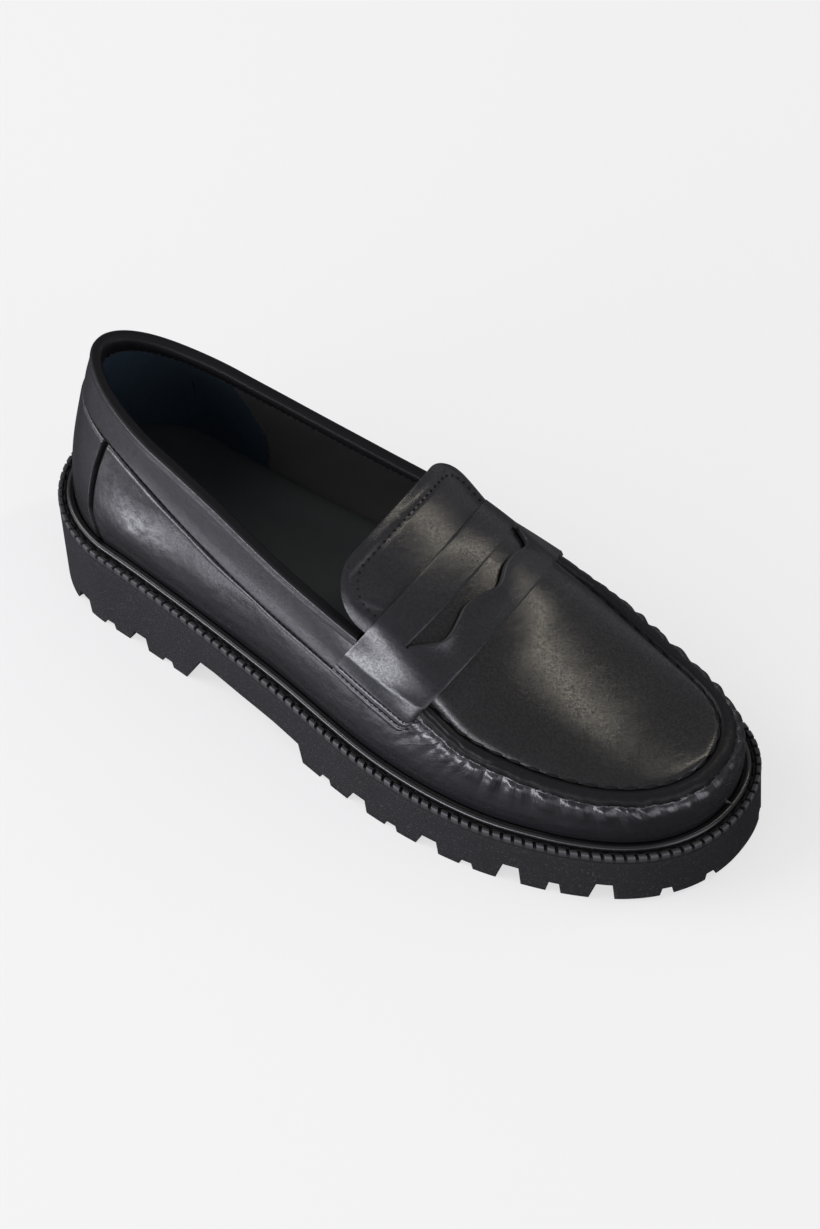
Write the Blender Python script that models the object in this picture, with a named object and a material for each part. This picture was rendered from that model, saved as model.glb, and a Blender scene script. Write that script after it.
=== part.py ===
# Slip-on penny loafer, right shoe, on a chunky lugged sole.
# Metres, +Z up, toe towards +X, outer side of the foot towards -Y.
# The shapes are worked out in the last's own frame, with x from 0 at the back of the heel
# to LENGTH at the toe. One empty then brings the middle of the sole over the origin.
import math
from collections import namedtuple

import bmesh
import bpy
from mathutils import Matrix, Vector

# Driving sizes of the shoe
LENGTH = 0.270
GAP = 0.0003
WALL = 0.0020
WELT_WIDTH = 0.0060
WELT_THICKNESS = 0.0032
INSOLE_THICKNESS = 0.0060
INSOLE_EASE = 0.0005
SOLE_FLARE = 0.0012

# Rounded ends of the sole's outline and of the upper's top line, as superellipse arcs
HEEL_ROUND, HEEL_POWER = 0.0365, 2.0
TOE_ROUND, TOE_POWER = 0.0480, 2.2
TOP_REAR, TOP_FRONT = 0.0173, 0.2565
TOP_HEEL_ROUND, TOP_HEEL_POWER = 0.0410, 2.0
TOP_TOE_ROUND, TOP_TOE_POWER = 0.0456, 2.3

# Sole edge at stations along the last: middle line, half width and height of the welt's top
Sole = namedtuple("Sole", "at centre half_width rim_height")
SOLE = (
    Sole(0.000, 0.0000, 0.0375, 0.0408),
    Sole(0.027, 0.0000, 0.0358, 0.0386),
    Sole(0.068, 0.0002, 0.0376, 0.0346),
    Sole(0.113, 0.0008, 0.0421, 0.0303),
    Sole(0.162, 0.0018, 0.0492, 0.0262),
    Sole(0.200, 0.0032, 0.0484, 0.0244),
    Sole(0.238, 0.0060, 0.0405, 0.0244),
    Sole(0.270, 0.0108, 0.0388, 0.0252),
)

# Top line of the upper: the collar back to front, then the moccasin seam round the toe.
# bulge and shoulder shape the wall below it, crown and arch the instep and plug above it,
# and band is the share of the wall's rise at which the collar binding ends.
Top = namedtuple("Top", "at centre half_width height bulge shoulder crown arch band")
TOP = (
    Top(0.017, 0.0000, 0.0190, 0.1022, -0.0005, 0.45, 0.0280, 0.50, 0.80),
    Top(0.045, 0.0000, 0.0206, 0.0945, 0.0032, 0.45, 0.0280, 0.50, 0.84),
    Top(0.080, 0.0000, 0.0250, 0.0871, 0.0055, 0.48, 0.0280, 0.50, 0.75),
    Top(0.113, 0.0000, 0.0300, 0.0795, 0.0045, 0.55, 0.0270, 0.50, 0.66),
    Top(0.136, 0.0003, 0.0328, 0.0748, 0.0040, 0.60, 0.0240, 0.50, 0.63),
    Top(0.157, 0.0007, 0.0343, 0.0695, 0.0035, 0.68, 0.0195, 0.50, 0.60),
    Top(0.175, 0.0012, 0.0348, 0.0625, 0.0035, 0.80, 0.0155, 0.55, 0.57),
    Top(0.194, 0.0018, 0.0356, 0.0546, 0.0035, 0.90, 0.0120, 0.70, 0.55),
    Top(0.227, 0.0042, 0.0300, 0.0478, 0.0035, 0.92, 0.0065, 0.85, 0.55),
    Top(0.257, 0.0084, 0.0281, 0.0466, 0.0035, 0.92, 0.0010, 1.00, 0.55),
)
SEAM_START, SEAM_BLEND = 0.150, 0.025
THROAT = 0.1560

# Straps and tongue are cut square to the instep, on planes x - INSTEP_LEAN * z = reach
INSTEP_LEAN = 0.483
STRAP_REAR, STRAP_FRONT = 0.1138, 0.1475
STRAP_THICKNESS = 0.0015
STRAP_GAP = 0.0004
STRAP_END_SINK = 0.010
SLOT_REAR = 0.1275
SLOT_CENTRE = 0.08
Slot = namedtuple("Slot", "across opening")
SLOT = (
    Slot(0.00, 0.0088),
    Slot(0.14, 0.0062),
    Slot(0.30, 0.0050),
    Slot(0.46, 0.0066),
    Slot(0.60, 0.0078),
    Slot(0.72, 0.0064),
    Slot(0.80, 0.0010),
)
TONGUE_REAR = 0.0925
TONGUE_THICKNESS = 0.0018
TONGUE_ACROSS = 0.88
TONGUE_CORNER = 0.013
TONGUE_LIFT = 0.0020

# Collar binding: folded over the top edge, an outer leg and a shorter inner leg
BINDING_THICKNESS = 0.0012
BINDING_GAP = 0.0005
BINDING_ROLL = 0.0020
BINDING_INNER_RISE = 0.88

# Welt section, from its outer edge inwards: distance in and height above the rim
WeltPoint = namedtuple("WeltPoint", "inward height")
WELT = (
    WeltPoint(0.0000, -WELT_THICKNESS),
    WeltPoint(0.0000, -0.0006),
    WeltPoint(0.0006, 0.0000),
    WeltPoint(0.0028, 0.0000),
    WeltPoint(0.0034, -0.0009),
    WeltPoint(0.0038, 0.0004),
    WeltPoint(0.0044, 0.0011),
    WeltPoint(0.0051, 0.0002),
    WeltPoint(0.0056, -WELT_THICKNESS),
)

# Underside of the sole, seen from the side: what stands clear of the floor
HEEL_ROLL_LENGTH, HEEL_ROLL_HEIGHT = 0.018, 0.0080
HEEL_ROLL_STEPS = 6
TOE_SPRING_START, TOE_SPRING_HEIGHT = 0.212, 0.0024
BELOW_FLOOR = 0.004
Waist = namedtuple("Waist", "at height")
WAIST = (
    Waist(0.0738, 0.0000),
    Waist(0.0810, 0.0146),
    Waist(0.0880, 0.0142),
    Waist(0.1000, 0.0124),
    Waist(0.1146, 0.0109),
    Waist(0.1272, 0.0091),
    Waist(0.1290, 0.0000),
)

# Lug notches along both edges of the tread, large and small in turn, and round the toe
NOTCH_OVERHANG = 0.003
Notch = namedtuple("Notch", "width depth inward heel_slope toe_slope")
LARGE = Notch(0.0088, 0.0062, 0.0130, 0.0026, 0.0008)
SMALL = Notch(0.0052, 0.0028, 0.0080, 0.0012, 0.0006)
NotchRow = namedtuple("NotchRow", "first pitch sizes")
NOTCH_ROWS = (
    NotchRow(0.0250, 0.0135, (LARGE, SMALL, LARGE, SMALL)),
    NotchRow(0.1398, 0.0146, (SMALL, LARGE, SMALL, LARGE, SMALL, LARGE, SMALL, LARGE)),
    NotchRow(0.2589, 0.0146, (SMALL,)),
)
TOE_NOTCH_TURNS = (0.935, 1.065)

# How finely the forms are divided
RING_STEPS = 96
RISE_STEPS = 8
PLUG_STEPS = 10
STRAP_STEPS = 36
STRAP_WIDTH_STEPS = 5
BINDING_STEPS = 52
BINDING_LEG_STEPS = 3
TONGUE_STEPS = 9
TONGUE_ACROSS_STEPS = 12
SLOT_STEPS = 24
SOLVE_STEPS = 40
TURN_STEP = 1e-3

# Finishes: base colour, roughness
RUBBER = ("sole_rubber", (0.018, 0.018, 0.019), 0.62)
WELT_RUBBER = ("welt_rubber", (0.012, 0.012, 0.012), 0.45)
LEATHER = ("upper_leather", (0.026, 0.025, 0.027), 0.34)
STRAP_LEATHER = ("strap_leather", (0.026, 0.025, 0.027), 0.32)
TONGUE_LEATHER = ("tongue_leather", (0.024, 0.024, 0.025), 0.36)
BINDING_LEATHER = ("binding_leather", (0.026, 0.025, 0.027), 0.36)
SOCK_LEATHER = ("insole_leather", (0.010, 0.010, 0.011), 0.60)


def smooth(rows, column, at):
    """A table's column at one place along the last, as a smooth curve through its rows."""
    places = [row.at for row in rows]
    values = [getattr(row, column) for row in rows]
    at = min(max(at, places[0]), places[-1])
    low = max(i for i in range(len(places) - 1) if places[i] <= at)

    def slope(i):
        before, after = max(i - 1, 0), min(i + 1, len(places) - 1)
        return (values[after] - values[before]) / (places[after] - places[before])

    span = places[low + 1] - places[low]
    t = (at - places[low]) / span
    start = (2 * t**3 - 3 * t**2 + 1) * values[low] + (t**3 - 2 * t**2 + t) * span * slope(low)
    end = (3 * t**2 - 2 * t**3) * values[low + 1] + (t**3 - t**2) * span * slope(low + 1)
    return start + end


def rounding(distance, reach, power):
    """Share of the full width left at a distance from a rounded end."""
    if distance >= reach:
        return 1.0
    return max(0.0, 1.0 - ((reach - distance) / reach) ** power) ** (1.0 / power)


def along(turn):
    """Turn 0 is the back of the heel, 1 the toe by the outer side, 2 the heel again."""
    return (1 - math.cos(math.pi * turn)) / 2


def side(turn):
    return -1.0 if turn % 2.0 <= 1.0 else 1.0


def rim_height(x):
    return smooth(SOLE, "rim_height", x)


def sole_top(x):
    return rim_height(x) - WELT_THICKNESS - GAP


def sole_edge(turn, inset=0.0):
    """Plan outline of the sole, moved in by an inset."""
    x = inset + (LENGTH - 2 * inset) * along(turn)
    half = smooth(SOLE, "half_width", x) - inset
    half *= rounding(x - inset, HEEL_ROUND - inset, HEEL_POWER)
    half *= rounding(LENGTH - inset - x, TOE_ROUND - inset, TOE_POWER)
    return x, smooth(SOLE, "centre", x) + side(turn) * half


def outward(turn, inset=0.0):
    """Plan direction square to the sole's outline."""
    ax, ay = sole_edge((turn - TURN_STEP) % 2.0, inset)
    bx, by = sole_edge((turn + TURN_STEP) % 2.0, inset)
    return Vector((by - ay, ax - bx, 0.0)).normalized()


def turn_at(x):
    """Turn on the outer side at which the sole's edge is at x."""
    return math.acos(1 - 2 * x / LENGTH) / math.pi


def top_half(x, depth):
    half = smooth(TOP, "half_width", x) - depth
    half *= rounding(x - TOP_REAR - depth, TOP_HEEL_ROUND - depth, TOP_HEEL_POWER)
    return half * rounding(TOP_FRONT - depth - x, TOP_TOE_ROUND - depth, TOP_TOE_POWER)


def top_edge(turn, depth):
    """Top line of the upper, at a depth inside its outer face."""
    x = TOP_REAR + depth + (TOP_FRONT - TOP_REAR - 2 * depth) * along(turn)
    y = smooth(TOP, "centre", x) + side(turn) * top_half(x, depth)
    t = min(max((x - SEAM_START) / SEAM_BLEND, 0.0), 1.0)
    return Vector((x, y, smooth(TOP, "height", x) - depth * t * t * (3 - 2 * t)))


def wall(turn, rise, depth=0.0):
    """Side of the upper from the welt (rise 0) to the top line (rise 1)."""
    inset = WELT_WIDTH + depth
    x, y = sole_edge(turn, inset)
    base = Vector((x, y, rim_height(x)))
    top = top_edge(turn, depth)
    knee = base + outward(turn, inset) * smooth(TOP, "bulge", top.x)
    knee.z += (top.z - base.z) * smooth(TOP, "shoulder", top.x)
    return base * (1 - rise) ** 2 + knee * 2 * rise * (1 - rise) + top * rise**2


def plug(x, across, depth=0.0):
    """Instep and apron between the two sides of the top line, across from -1 to 1."""
    y = smooth(TOP, "centre", x) + across * top_half(x, depth)
    lift = max(0.0, 1 - across**2) ** smooth(TOP, "arch", x)
    return Vector((x, y, smooth(TOP, "height", x) - depth + smooth(TOP, "crown", x) * lift))


def solve(miss, low, high):
    """Where a rising function crosses nought."""
    for _ in range(SOLVE_STEPS):
        middle = (low + high) / 2
        if miss(middle) < 0:
            low = middle
        else:
            high = middle
    return (low + high) / 2


def reach_of(point):
    return point.x - INSTEP_LEAN * point.z


def turn_on_plane(reach, rise, depth):
    """Turn on the outer side at which the wall meets a plane square to the instep."""
    return solve(lambda turn: reach_of(wall(turn, rise, depth)) - reach, 0.2, 0.9)


def instep(reach, across, depth=0.0):
    """Outer face over the instep on one plane; past -1 and 1 it runs down the two sides."""
    if abs(across) <= 1:
        x = solve(lambda x: reach_of(plug(x, across, depth)) - reach, 0.10, 0.25)
        return plug(x, across, depth)
    rise = 2 - abs(across)
    turn = turn_on_plane(reach, rise, depth)
    return wall(turn if across < 0 else 2 - turn, rise, depth)


def spread(low, high, steps):
    return [low + (high - low) * i / steps for i in range(steps + 1)]


def finish(name, colour, roughness):
    material = bpy.data.materials.new(name)
    material.use_nodes = True
    shader = material.node_tree.nodes["Principled BSDF"]
    shader.inputs["Base Color"].default_value = (*colour, 1.0)
    shader.inputs["Roughness"].default_value = roughness
    shader.inputs["Metallic"].default_value = 0.0
    return material


def add_object(name, mesh_bm, collection, look=None):
    """Turn a bmesh into a named object of one collection."""
    bmesh.ops.recalc_face_normals(mesh_bm, faces=mesh_bm.faces)
    mesh = bpy.data.meshes.new(name)
    mesh_bm.to_mesh(mesh)
    mesh_bm.free()
    item = bpy.data.objects.new(name, mesh)
    collection.objects.link(item)
    if look:
        mesh.materials.append(finish(*look))
        mesh.shade_smooth()
        mesh.set_sharp_from_angle(angle=math.radians(40))
    return item


def loft(bm, sections, closed):
    """Skin over sections of equal length, joined end to end or capped."""
    loops = [[bm.verts.new(point) for point in section] for section in sections]
    count = len(loops[0])
    pairs = list(zip(loops, loops[1:])) + ([(loops[-1], loops[0])] if closed else [])
    for first, second in pairs:
        for i in range(count):
            j = (i + 1) % count
            bm.faces.new((first[i], first[j], second[j], second[i]))
    if not closed:
        bm.faces.new(loops[0])
        bm.faces.new(loops[-1])


def prism(bm, outline, step):
    """Flat outline pushed along a step into a closed solid."""
    face = bm.faces.new([bm.verts.new(point) for point in outline])
    pushed = bmesh.ops.extrude_face_region(bm, geom=[face])["geom"]
    bmesh.ops.translate(bm, vec=step, verts=[v for v in pushed if isinstance(v, bmesh.types.BMVert)])


def slab(bm, low_inset, high_inset, low_height, high_height):
    """Solid between two outlines of the sole, ribbed across so that it can curve lengthways."""
    turns = [2 * i / RING_STEPS for i in range(RING_STEPS)]
    half = RING_STEPS // 2

    def ring(inset, height):
        edge = [sole_edge(turn, inset) for turn in turns]
        return [bm.verts.new((x, y, height(x))) for x, y in edge]

    low, high = ring(low_inset, low_height), ring(high_inset, high_height)
    for i in range(RING_STEPS):
        j = (i + 1) % RING_STEPS
        bm.faces.new((low[i], low[j], high[j], high[i]))
    for loop in (low, high):
        for i in range(half):
            corners = [loop[i], loop[i + 1], loop[half * 2 - i - 1], loop[-i % RING_STEPS]]
            bm.faces.new(list(dict.fromkeys(corners)))


def cut(item, cutter):
    modifier = item.modifiers.new("cut_" + cutter.name, "BOOLEAN")
    modifier.operation = "DIFFERENCE"
    modifier.solver = "EXACT"
    modifier.object = cutter
    cutter.hide_render = True
    cutter.display_type = "WIRE"


def underside_cutter(collection):
    """What is taken away below the sole: heel roll, waist and toe spring, seen from the side."""
    rear, front = -0.010, LENGTH + 0.010
    outline = [(rear, -0.010), (rear, HEEL_ROLL_HEIGHT * (1 - rear / HEEL_ROLL_LENGTH) ** 2)]
    for x in spread(0.0, HEEL_ROLL_LENGTH, HEEL_ROLL_STEPS):
        outline.append((x, HEEL_ROLL_HEIGHT * (1 - x / HEEL_ROLL_LENGTH) ** 2))
    outline += [(row.at, row.height) for row in WAIST]
    outline.append((TOE_SPRING_START, 0.0))
    for x in spread(TOE_SPRING_START, front, 4)[1:]:
        outline.append((x, TOE_SPRING_HEIGHT * ((x - TOE_SPRING_START) / (LENGTH - TOE_SPRING_START)) ** 2))
    outline.append((front, -0.010))
    bm = bmesh.new()
    prism(bm, [(x, -0.08, z) for x, z in outline], (0.0, 0.16, 0.0))
    return add_object("underside_cutter", bm, collection)


def notch_cutter(collection):
    """All the lug notches as separate wedges, each square to the sole's edge."""
    places = []
    for row in NOTCH_ROWS:
        for i, size in enumerate(row.sizes):
            turn = turn_at(row.first + i * row.pitch)
            places += [(turn, size), (2 - turn, size)]
    places += [(turn, SMALL) for turn in TOE_NOTCH_TURNS]
    bm = bmesh.new()
    for turn, size in places:
        out = outward(turn)
        toewards = Vector((0, 0, 1)).cross(out) * -side(turn)
        x, y = sole_edge(turn, -SOLE_FLARE)
        start = Vector((x, y, 0.0)) + out * NOTCH_OVERHANG
        half = size.width / 2
        outline = (
            (-half - size.heel_slope * 0.5, -0.010),
            (-half, 0.0),
            (-half + size.heel_slope, size.depth),
            (half - size.toe_slope, size.depth),
            (half, 0.0),
            (half + size.toe_slope * 0.5, -0.010),
        )
        lift = TOE_SPRING_HEIGHT if x > TOE_SPRING_START else 0.0
        corners = [start + toewards * s + Vector((0, 0, z + lift * (z > 0))) for s, z in outline]
        prism(bm, corners, -out * (size.inward + NOTCH_OVERHANG))
    return add_object("notch_cutter", bm, collection)


def make_outsole(parts, cutters):
    bm = bmesh.new()
    slab(bm, -SOLE_FLARE, 0.0, lambda x: -BELOW_FLOOR, sole_top)
    outsole = add_object("outsole", bm, parts, RUBBER)
    cut(outsole, underside_cutter(cutters))
    cut(outsole, notch_cutter(cutters))
    return outsole


def make_welt(parts):
    sections = []
    for i in range(RING_STEPS):
        turn = 2 * i / RING_STEPS
        section = []
        for point in WELT:
            x, y = sole_edge(turn, point.inward)
            section.append((x, y, rim_height(x) + point.height))
        sections.append(section)
    bm = bmesh.new()
    loft(bm, sections, closed=True)
    return add_object("welt", bm, parts, WELT_RUBBER)


def make_insole(parts):
    inset = WELT_WIDTH + WALL + INSOLE_EASE
    bm = bmesh.new()
    slab(bm, inset, inset, lambda x: sole_top(x) + GAP, lambda x: sole_top(x) + GAP + INSOLE_THICKNESS)
    return add_object("insole", bm, parts, SOCK_LEATHER)


def throat_step():
    """First ring of the upper that the plug closes."""
    half = RING_STEPS // 2
    return next(i for i in range(half) if top_edge(2 * i / RING_STEPS, 0.0).x >= THROAT)


def upper_skin(bm, depth):
    """One face of the upper: the walls as rings of points, then the plug as rows across."""
    rings = []
    for i in range(RING_STEPS):
        turn = 2 * i / RING_STEPS
        column = [wall(turn, rise, depth) for rise in spread(0.0, 1.0, RISE_STEPS)]
        foot = column[0].copy()
        foot.z = sole_top(foot.x) + GAP
        rings.append([bm.verts.new(point) for point in [foot] + column])
    half = RING_STEPS // 2
    rows = []
    for i in range(throat_step(), half):
        start, end = rings[i][-1], rings[RING_STEPS - i][-1]
        between = [plug(start.co.x, across, depth) for across in spread(-1.0, 1.0, PLUG_STEPS)[1:-1]]
        rows.append([start] + [bm.verts.new(point) for point in between] + [end])
    for i in range(RING_STEPS):
        here, after = rings[i], rings[(i + 1) % RING_STEPS]
        for k in range(len(here) - 1):
            bm.faces.new((here[k], after[k], after[k + 1], here[k + 1]))
    for here, after in zip(rows, rows[1:]):
        for k in range(PLUG_STEPS):
            bm.faces.new((here[k], after[k], after[k + 1], here[k + 1]))
    tip = rings[half][-1]
    for k in range(PLUG_STEPS):
        bm.faces.new((rows[-1][k], tip, rows[-1][k + 1]))
    return rings, rows


def make_upper(parts):
    bm = bmesh.new()
    outer_rings, outer_rows = upper_skin(bm, 0.0)
    inner_rings, inner_rows = upper_skin(bm, WALL)
    first = throat_step()
    for i in range(RING_STEPS):
        j = (i + 1) % RING_STEPS
        bm.faces.new((outer_rings[i][0], outer_rings[j][0], inner_rings[j][0], inner_rings[i][0]))
        if i < first or i >= RING_STEPS - first:
            bm.faces.new((outer_rings[i][-1], outer_rings[j][-1], inner_rings[j][-1], inner_rings[i][-1]))
    outer, inner = outer_rows[0], inner_rows[0]
    for k in range(PLUG_STEPS):
        bm.faces.new((outer[k], outer[k + 1], inner[k + 1], inner[k]))
    return add_object("upper", bm, parts, LEATHER)


def make_collar_binding(parts):
    """Leather folded over the collar's edge; its two ends stop at the strap."""
    outside = -(BINDING_GAP + BINDING_THICKNESS)
    lining = WALL + BINDING_GAP
    inside = lining + BINDING_THICKNESS
    roll = BINDING_GAP + BINDING_ROLL
    sections = []
    for share in spread(1.0, -1.0, BINDING_STEPS):
        def at(rise, depth, lift=0.0):
            turn = share * turn_on_plane(STRAP_REAR - 2 * GAP, rise, depth)
            return wall(turn % 2.0, rise, depth) + Vector((0, 0, lift))

        middle = at(1.0, 0.0)
        band = spread(smooth(TOP, "band", middle.x), 1.0, BINDING_LEG_STEPS)
        section = [at(rise, outside) for rise in band]
        section += [at(1.0, outside * 0.55, roll * 0.75), at(1.0, WALL / 2, roll)]
        section += [at(1.0, lining + BINDING_THICKNESS * 0.4, roll * 0.75)]
        section += [at(1.0, inside), at(BINDING_INNER_RISE, inside)]
        section += [at(BINDING_INNER_RISE, lining), at(1.0, lining, BINDING_GAP)]
        section += [at(1.0, -BINDING_GAP, BINDING_GAP)]
        section += [at(rise, -BINDING_GAP) for rise in reversed(band[:-1])]
        sections.append(section)
    bm = bmesh.new()
    loft(bm, sections, closed=False)
    return add_object("collar_binding", bm, parts, BINDING_LEATHER)


def slot_cutter(collection):
    """Penny slot: straight rear edge, brace-shaped front edge, cut straight down."""
    rows = [Slot(-row.across, row.opening) for row in reversed(SLOT[1:])] + list(SLOT)
    top = -(STRAP_GAP + STRAP_THICKNESS)
    front = [instep(SLOT_REAR + row.opening, SLOT_CENTRE + row.across, top) for row in rows]
    end = SLOT[-1].across
    rear = [instep(SLOT_REAR, SLOT_CENTRE + across, top) for across in spread(end, -end, SLOT_STEPS // 2)]
    outline = [Vector((point.x, point.y, 0.05)) for point in front + rear]
    bm = bmesh.new()
    prism(bm, outline, (0.0, 0.0, 0.06))
    return add_object("slot_cutter", bm, collection)


def make_saddle_strap(parts, cutters):
    """Strap laid over the instep between the two sides of the upper."""
    reaches = spread(STRAP_REAR, STRAP_FRONT, STRAP_WIDTH_STEPS)
    sink = 1 - smooth(TOP, "band", THROAT) - STRAP_END_SINK
    sections = []
    for across in spread(-1 - sink, 1 + sink, STRAP_STEPS):
        face = [instep(reach, across, -(STRAP_GAP + STRAP_THICKNESS)) for reach in reaches]
        back = [instep(reach, across, -STRAP_GAP) for reach in reversed(reaches)]
        sections.append(face + back)
    bm = bmesh.new()
    loft(bm, sections, closed=False)
    strap = add_object("saddle_strap", bm, parts, STRAP_LEATHER)
    cut(strap, slot_cutter(cutters))
    return strap


def make_tongue(parts):
    """Flap that carries the plug's line on behind the strap, with rounded rear corners."""
    half_width = smooth(TOP, "half_width", THROAT) * TONGUE_ACROSS
    front = top_edge(2 * throat_step() / RING_STEPS, WALL).x - GAP
    length = front - instep(TONGUE_REAR, 0.0).x
    sections = []
    for step in spread(0.0, 1.0, TONGUE_STEPS):
        share = math.sin(step * math.pi / 2)
        corner = TONGUE_CORNER * (1 - rounding((1 - share) * length, TONGUE_CORNER, 2.0))
        limit = TONGUE_ACROSS * (1 - corner / half_width)
        section = []
        for depth, direction in ((0.0, 1), (TONGUE_THICKNESS, -1)):
            for across in spread(-limit * direction, limit * direction, TONGUE_ACROSS_STEPS):
                rear = instep(TONGUE_REAR, across).x
                point = plug(front + (rear - front) * share, across, depth)
                point.z += TONGUE_LIFT * share**2
                section.append(point)
        sections.append(section)
    bm = bmesh.new()
    loft(bm, sections, closed=False)
    return add_object("tongue", bm, parts, TONGUE_LEATHER)


def new_collection(name):
    collection = bpy.data.collections.new(name)
    bpy.context.scene.collection.children.link(collection)
    return collection


def main():
    for item in list(bpy.data.objects):
        bpy.data.objects.remove(item, do_unlink=True)
    parts = new_collection("penny_loafer")
    cutters = new_collection("cutters")
    make_outsole(parts, cutters)
    make_welt(parts)
    make_insole(parts)
    make_upper(parts)
    make_collar_binding(parts)
    make_saddle_strap(parts, cutters)
    make_tongue(parts)

    # The middle of the sole's outline goes over the origin
    widths = [sole_edge(2 * i / RING_STEPS, -SOLE_FLARE)[1] for i in range(RING_STEPS)]
    frame = bpy.data.objects.new("last_frame", None)
    parts.objects.link(frame)
    frame.matrix_world = Matrix.Translation((-LENGTH / 2, -(min(widths) + max(widths)) / 2, 0.0))
    for item in list(parts.objects) + list(cutters.objects):
        if item != frame:
            item.parent = frame


main()
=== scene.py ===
# Penny loafer, right shoe, black smooth leather on a lugged rubber sole.
# Every piece is worked out in the last's own frame, x from 0 at the heel to the toe,
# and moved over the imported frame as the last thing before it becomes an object.
import math

import bmesh
import bpy
import numpy as np
from mathutils import Matrix, Vector


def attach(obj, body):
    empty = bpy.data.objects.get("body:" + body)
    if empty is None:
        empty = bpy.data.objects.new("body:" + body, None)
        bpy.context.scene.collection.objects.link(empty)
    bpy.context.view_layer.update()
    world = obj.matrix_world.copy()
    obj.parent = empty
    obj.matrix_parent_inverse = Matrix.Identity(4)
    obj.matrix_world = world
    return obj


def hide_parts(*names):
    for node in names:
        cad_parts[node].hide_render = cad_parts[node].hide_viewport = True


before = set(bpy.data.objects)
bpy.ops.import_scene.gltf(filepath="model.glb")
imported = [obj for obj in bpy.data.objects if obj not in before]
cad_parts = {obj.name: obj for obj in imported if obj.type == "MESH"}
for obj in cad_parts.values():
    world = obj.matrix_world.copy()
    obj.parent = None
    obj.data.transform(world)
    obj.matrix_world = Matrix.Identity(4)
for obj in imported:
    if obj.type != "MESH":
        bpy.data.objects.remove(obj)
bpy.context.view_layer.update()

# Sizes of the last, metres
last = {
    "length": 0.270,
    "wall": 0.0020,
    "weltWidth": 0.0060,
    "weltThick": 0.0032,
    "gap": 0.0003,
    "flare": 0.0012,            # the sole is this much wider at the floor
    "heelRound": (0.0365, 2.0),  # reach and power of the rounded ends
    "toeRound": (0.0480, 2.2),
    "topRear": 0.0173,
    "topFront": 0.2565,
    "topHeelRound": (0.0410, 2.0),
    "topToeRound": (0.0456, 2.3),
    "throat": 0.1560,
    "apronFrom": (0.150, 0.175),    # where the collar's edge gives way to the apron's seam
    "strapFront": 0.1475,
    "lean": 0.483,              # strap and tongue are cut on planes x - lean * z = reach
}

# Sole edge along the last
soleRows = {
    "at": (0.000, 0.027, 0.068, 0.113, 0.162, 0.200, 0.238, 0.270),
    "centre": (0.0, 0.0, 0.0002, 0.0008, 0.0018, 0.0032, 0.0060, 0.0108),
    "half": (0.0375, 0.0358, 0.0376, 0.0421, 0.0492, 0.0484, 0.0405, 0.0388),
    "rim": (0.0408, 0.0386, 0.0346, 0.0303, 0.0262, 0.0244, 0.0244, 0.0252),
}

# Top line of the upper along the last: collar first, then the apron seam
topRows = {
    "at": (0.017, 0.045, 0.080, 0.113, 0.136, 0.157, 0.175, 0.194, 0.227, 0.257),
    "centre": (0.0, 0.0, 0.0, 0.0, 0.0003, 0.0007, 0.0012, 0.0018, 0.0042, 0.0084),
    "half": (0.0190, 0.0206, 0.0250, 0.0300, 0.0328, 0.0343, 0.0348, 0.0356, 0.0300, 0.0281),
    "height": (0.1022, 0.0945, 0.0871, 0.0795, 0.0748, 0.0695, 0.0625, 0.0546, 0.0478, 0.0466),
    "bulge": (-0.0005, 0.0032, 0.0055, 0.0045, 0.0040, 0.0035, 0.0035, 0.0035, 0.0035, 0.0035),
    "shoulder": (0.45, 0.45, 0.48, 0.55, 0.60, 0.68, 0.80, 0.90, 0.92, 0.92),
    "crown": (0.0280, 0.0280, 0.0280, 0.0270, 0.0240, 0.0195, 0.0155, 0.0120, 0.0065, 0.0010),
    "arch": (0.50, 0.50, 0.50, 0.50, 0.50, 0.50, 0.55, 0.70, 0.85, 1.00),
    "band": (0.80, 0.84, 0.75, 0.66, 0.63, 0.60, 0.57, 0.55, 0.55, 0.55),
}


def ease(rows, column, at):
    # smooth curve through a table's rows
    places, values = np.array(rows["at"]), np.array(rows[column])
    at = np.clip(at, places[0], places[-1])
    low = np.clip(np.searchsorted(places, at, side="right") - 1, 0, len(places) - 2)
    slopes = np.gradient(values)
    slopes[1:-1] = (values[2:] - values[:-2]) / (places[2:] - places[:-2])
    slopes[0] = (values[1] - values[0]) / (places[1] - places[0])
    slopes[-1] = (values[-1] - values[-2]) / (places[-1] - places[-2])
    span = places[low + 1] - places[low]
    t = (at - places[low]) / span
    start = (2 * t**3 - 3 * t**2 + 1) * values[low] + (t**3 - 2 * t**2 + t) * span * slopes[low]
    return start + (3 * t**2 - 2 * t**3) * values[low + 1] + (t**3 - t**2) * span * slopes[low + 1]


def fade(low, high, at):
    # 0 below low, 1 above high, soft between
    t = np.clip((at - low) / (high - low), 0.0, 1.0)
    return t * t * (3 - 2 * t)


def hump(at, width):
    return np.exp(-(at / width) ** 2)


def rounding(distance, reach, power):
    inside = np.clip((reach - np.minimum(distance, reach)) / reach, 0.0, 1.0)
    return (1.0 - inside**power) ** (1.0 / power)


def alongTurn(turn):
    # turn 0 heel back, 1 toe by the outer side, 2 the heel again
    return (1 - np.cos(np.pi * turn)) / 2


def sideOf(turn):
    return np.where(np.mod(turn, 2.0) <= 1.0, -1.0, 1.0)


def soleEdge(turn, inset=0.0):
    x = inset + (last["length"] - 2 * inset) * alongTurn(turn)
    half = ease(soleRows, "half", x) - inset
    reach, power = last["heelRound"]
    half = half * rounding(x - inset, reach - inset, power)
    reach, power = last["toeRound"]
    half = half * rounding(last["length"] - inset - x, reach - inset, power)
    return x, ease(soleRows, "centre", x) + sideOf(turn) * half


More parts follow.
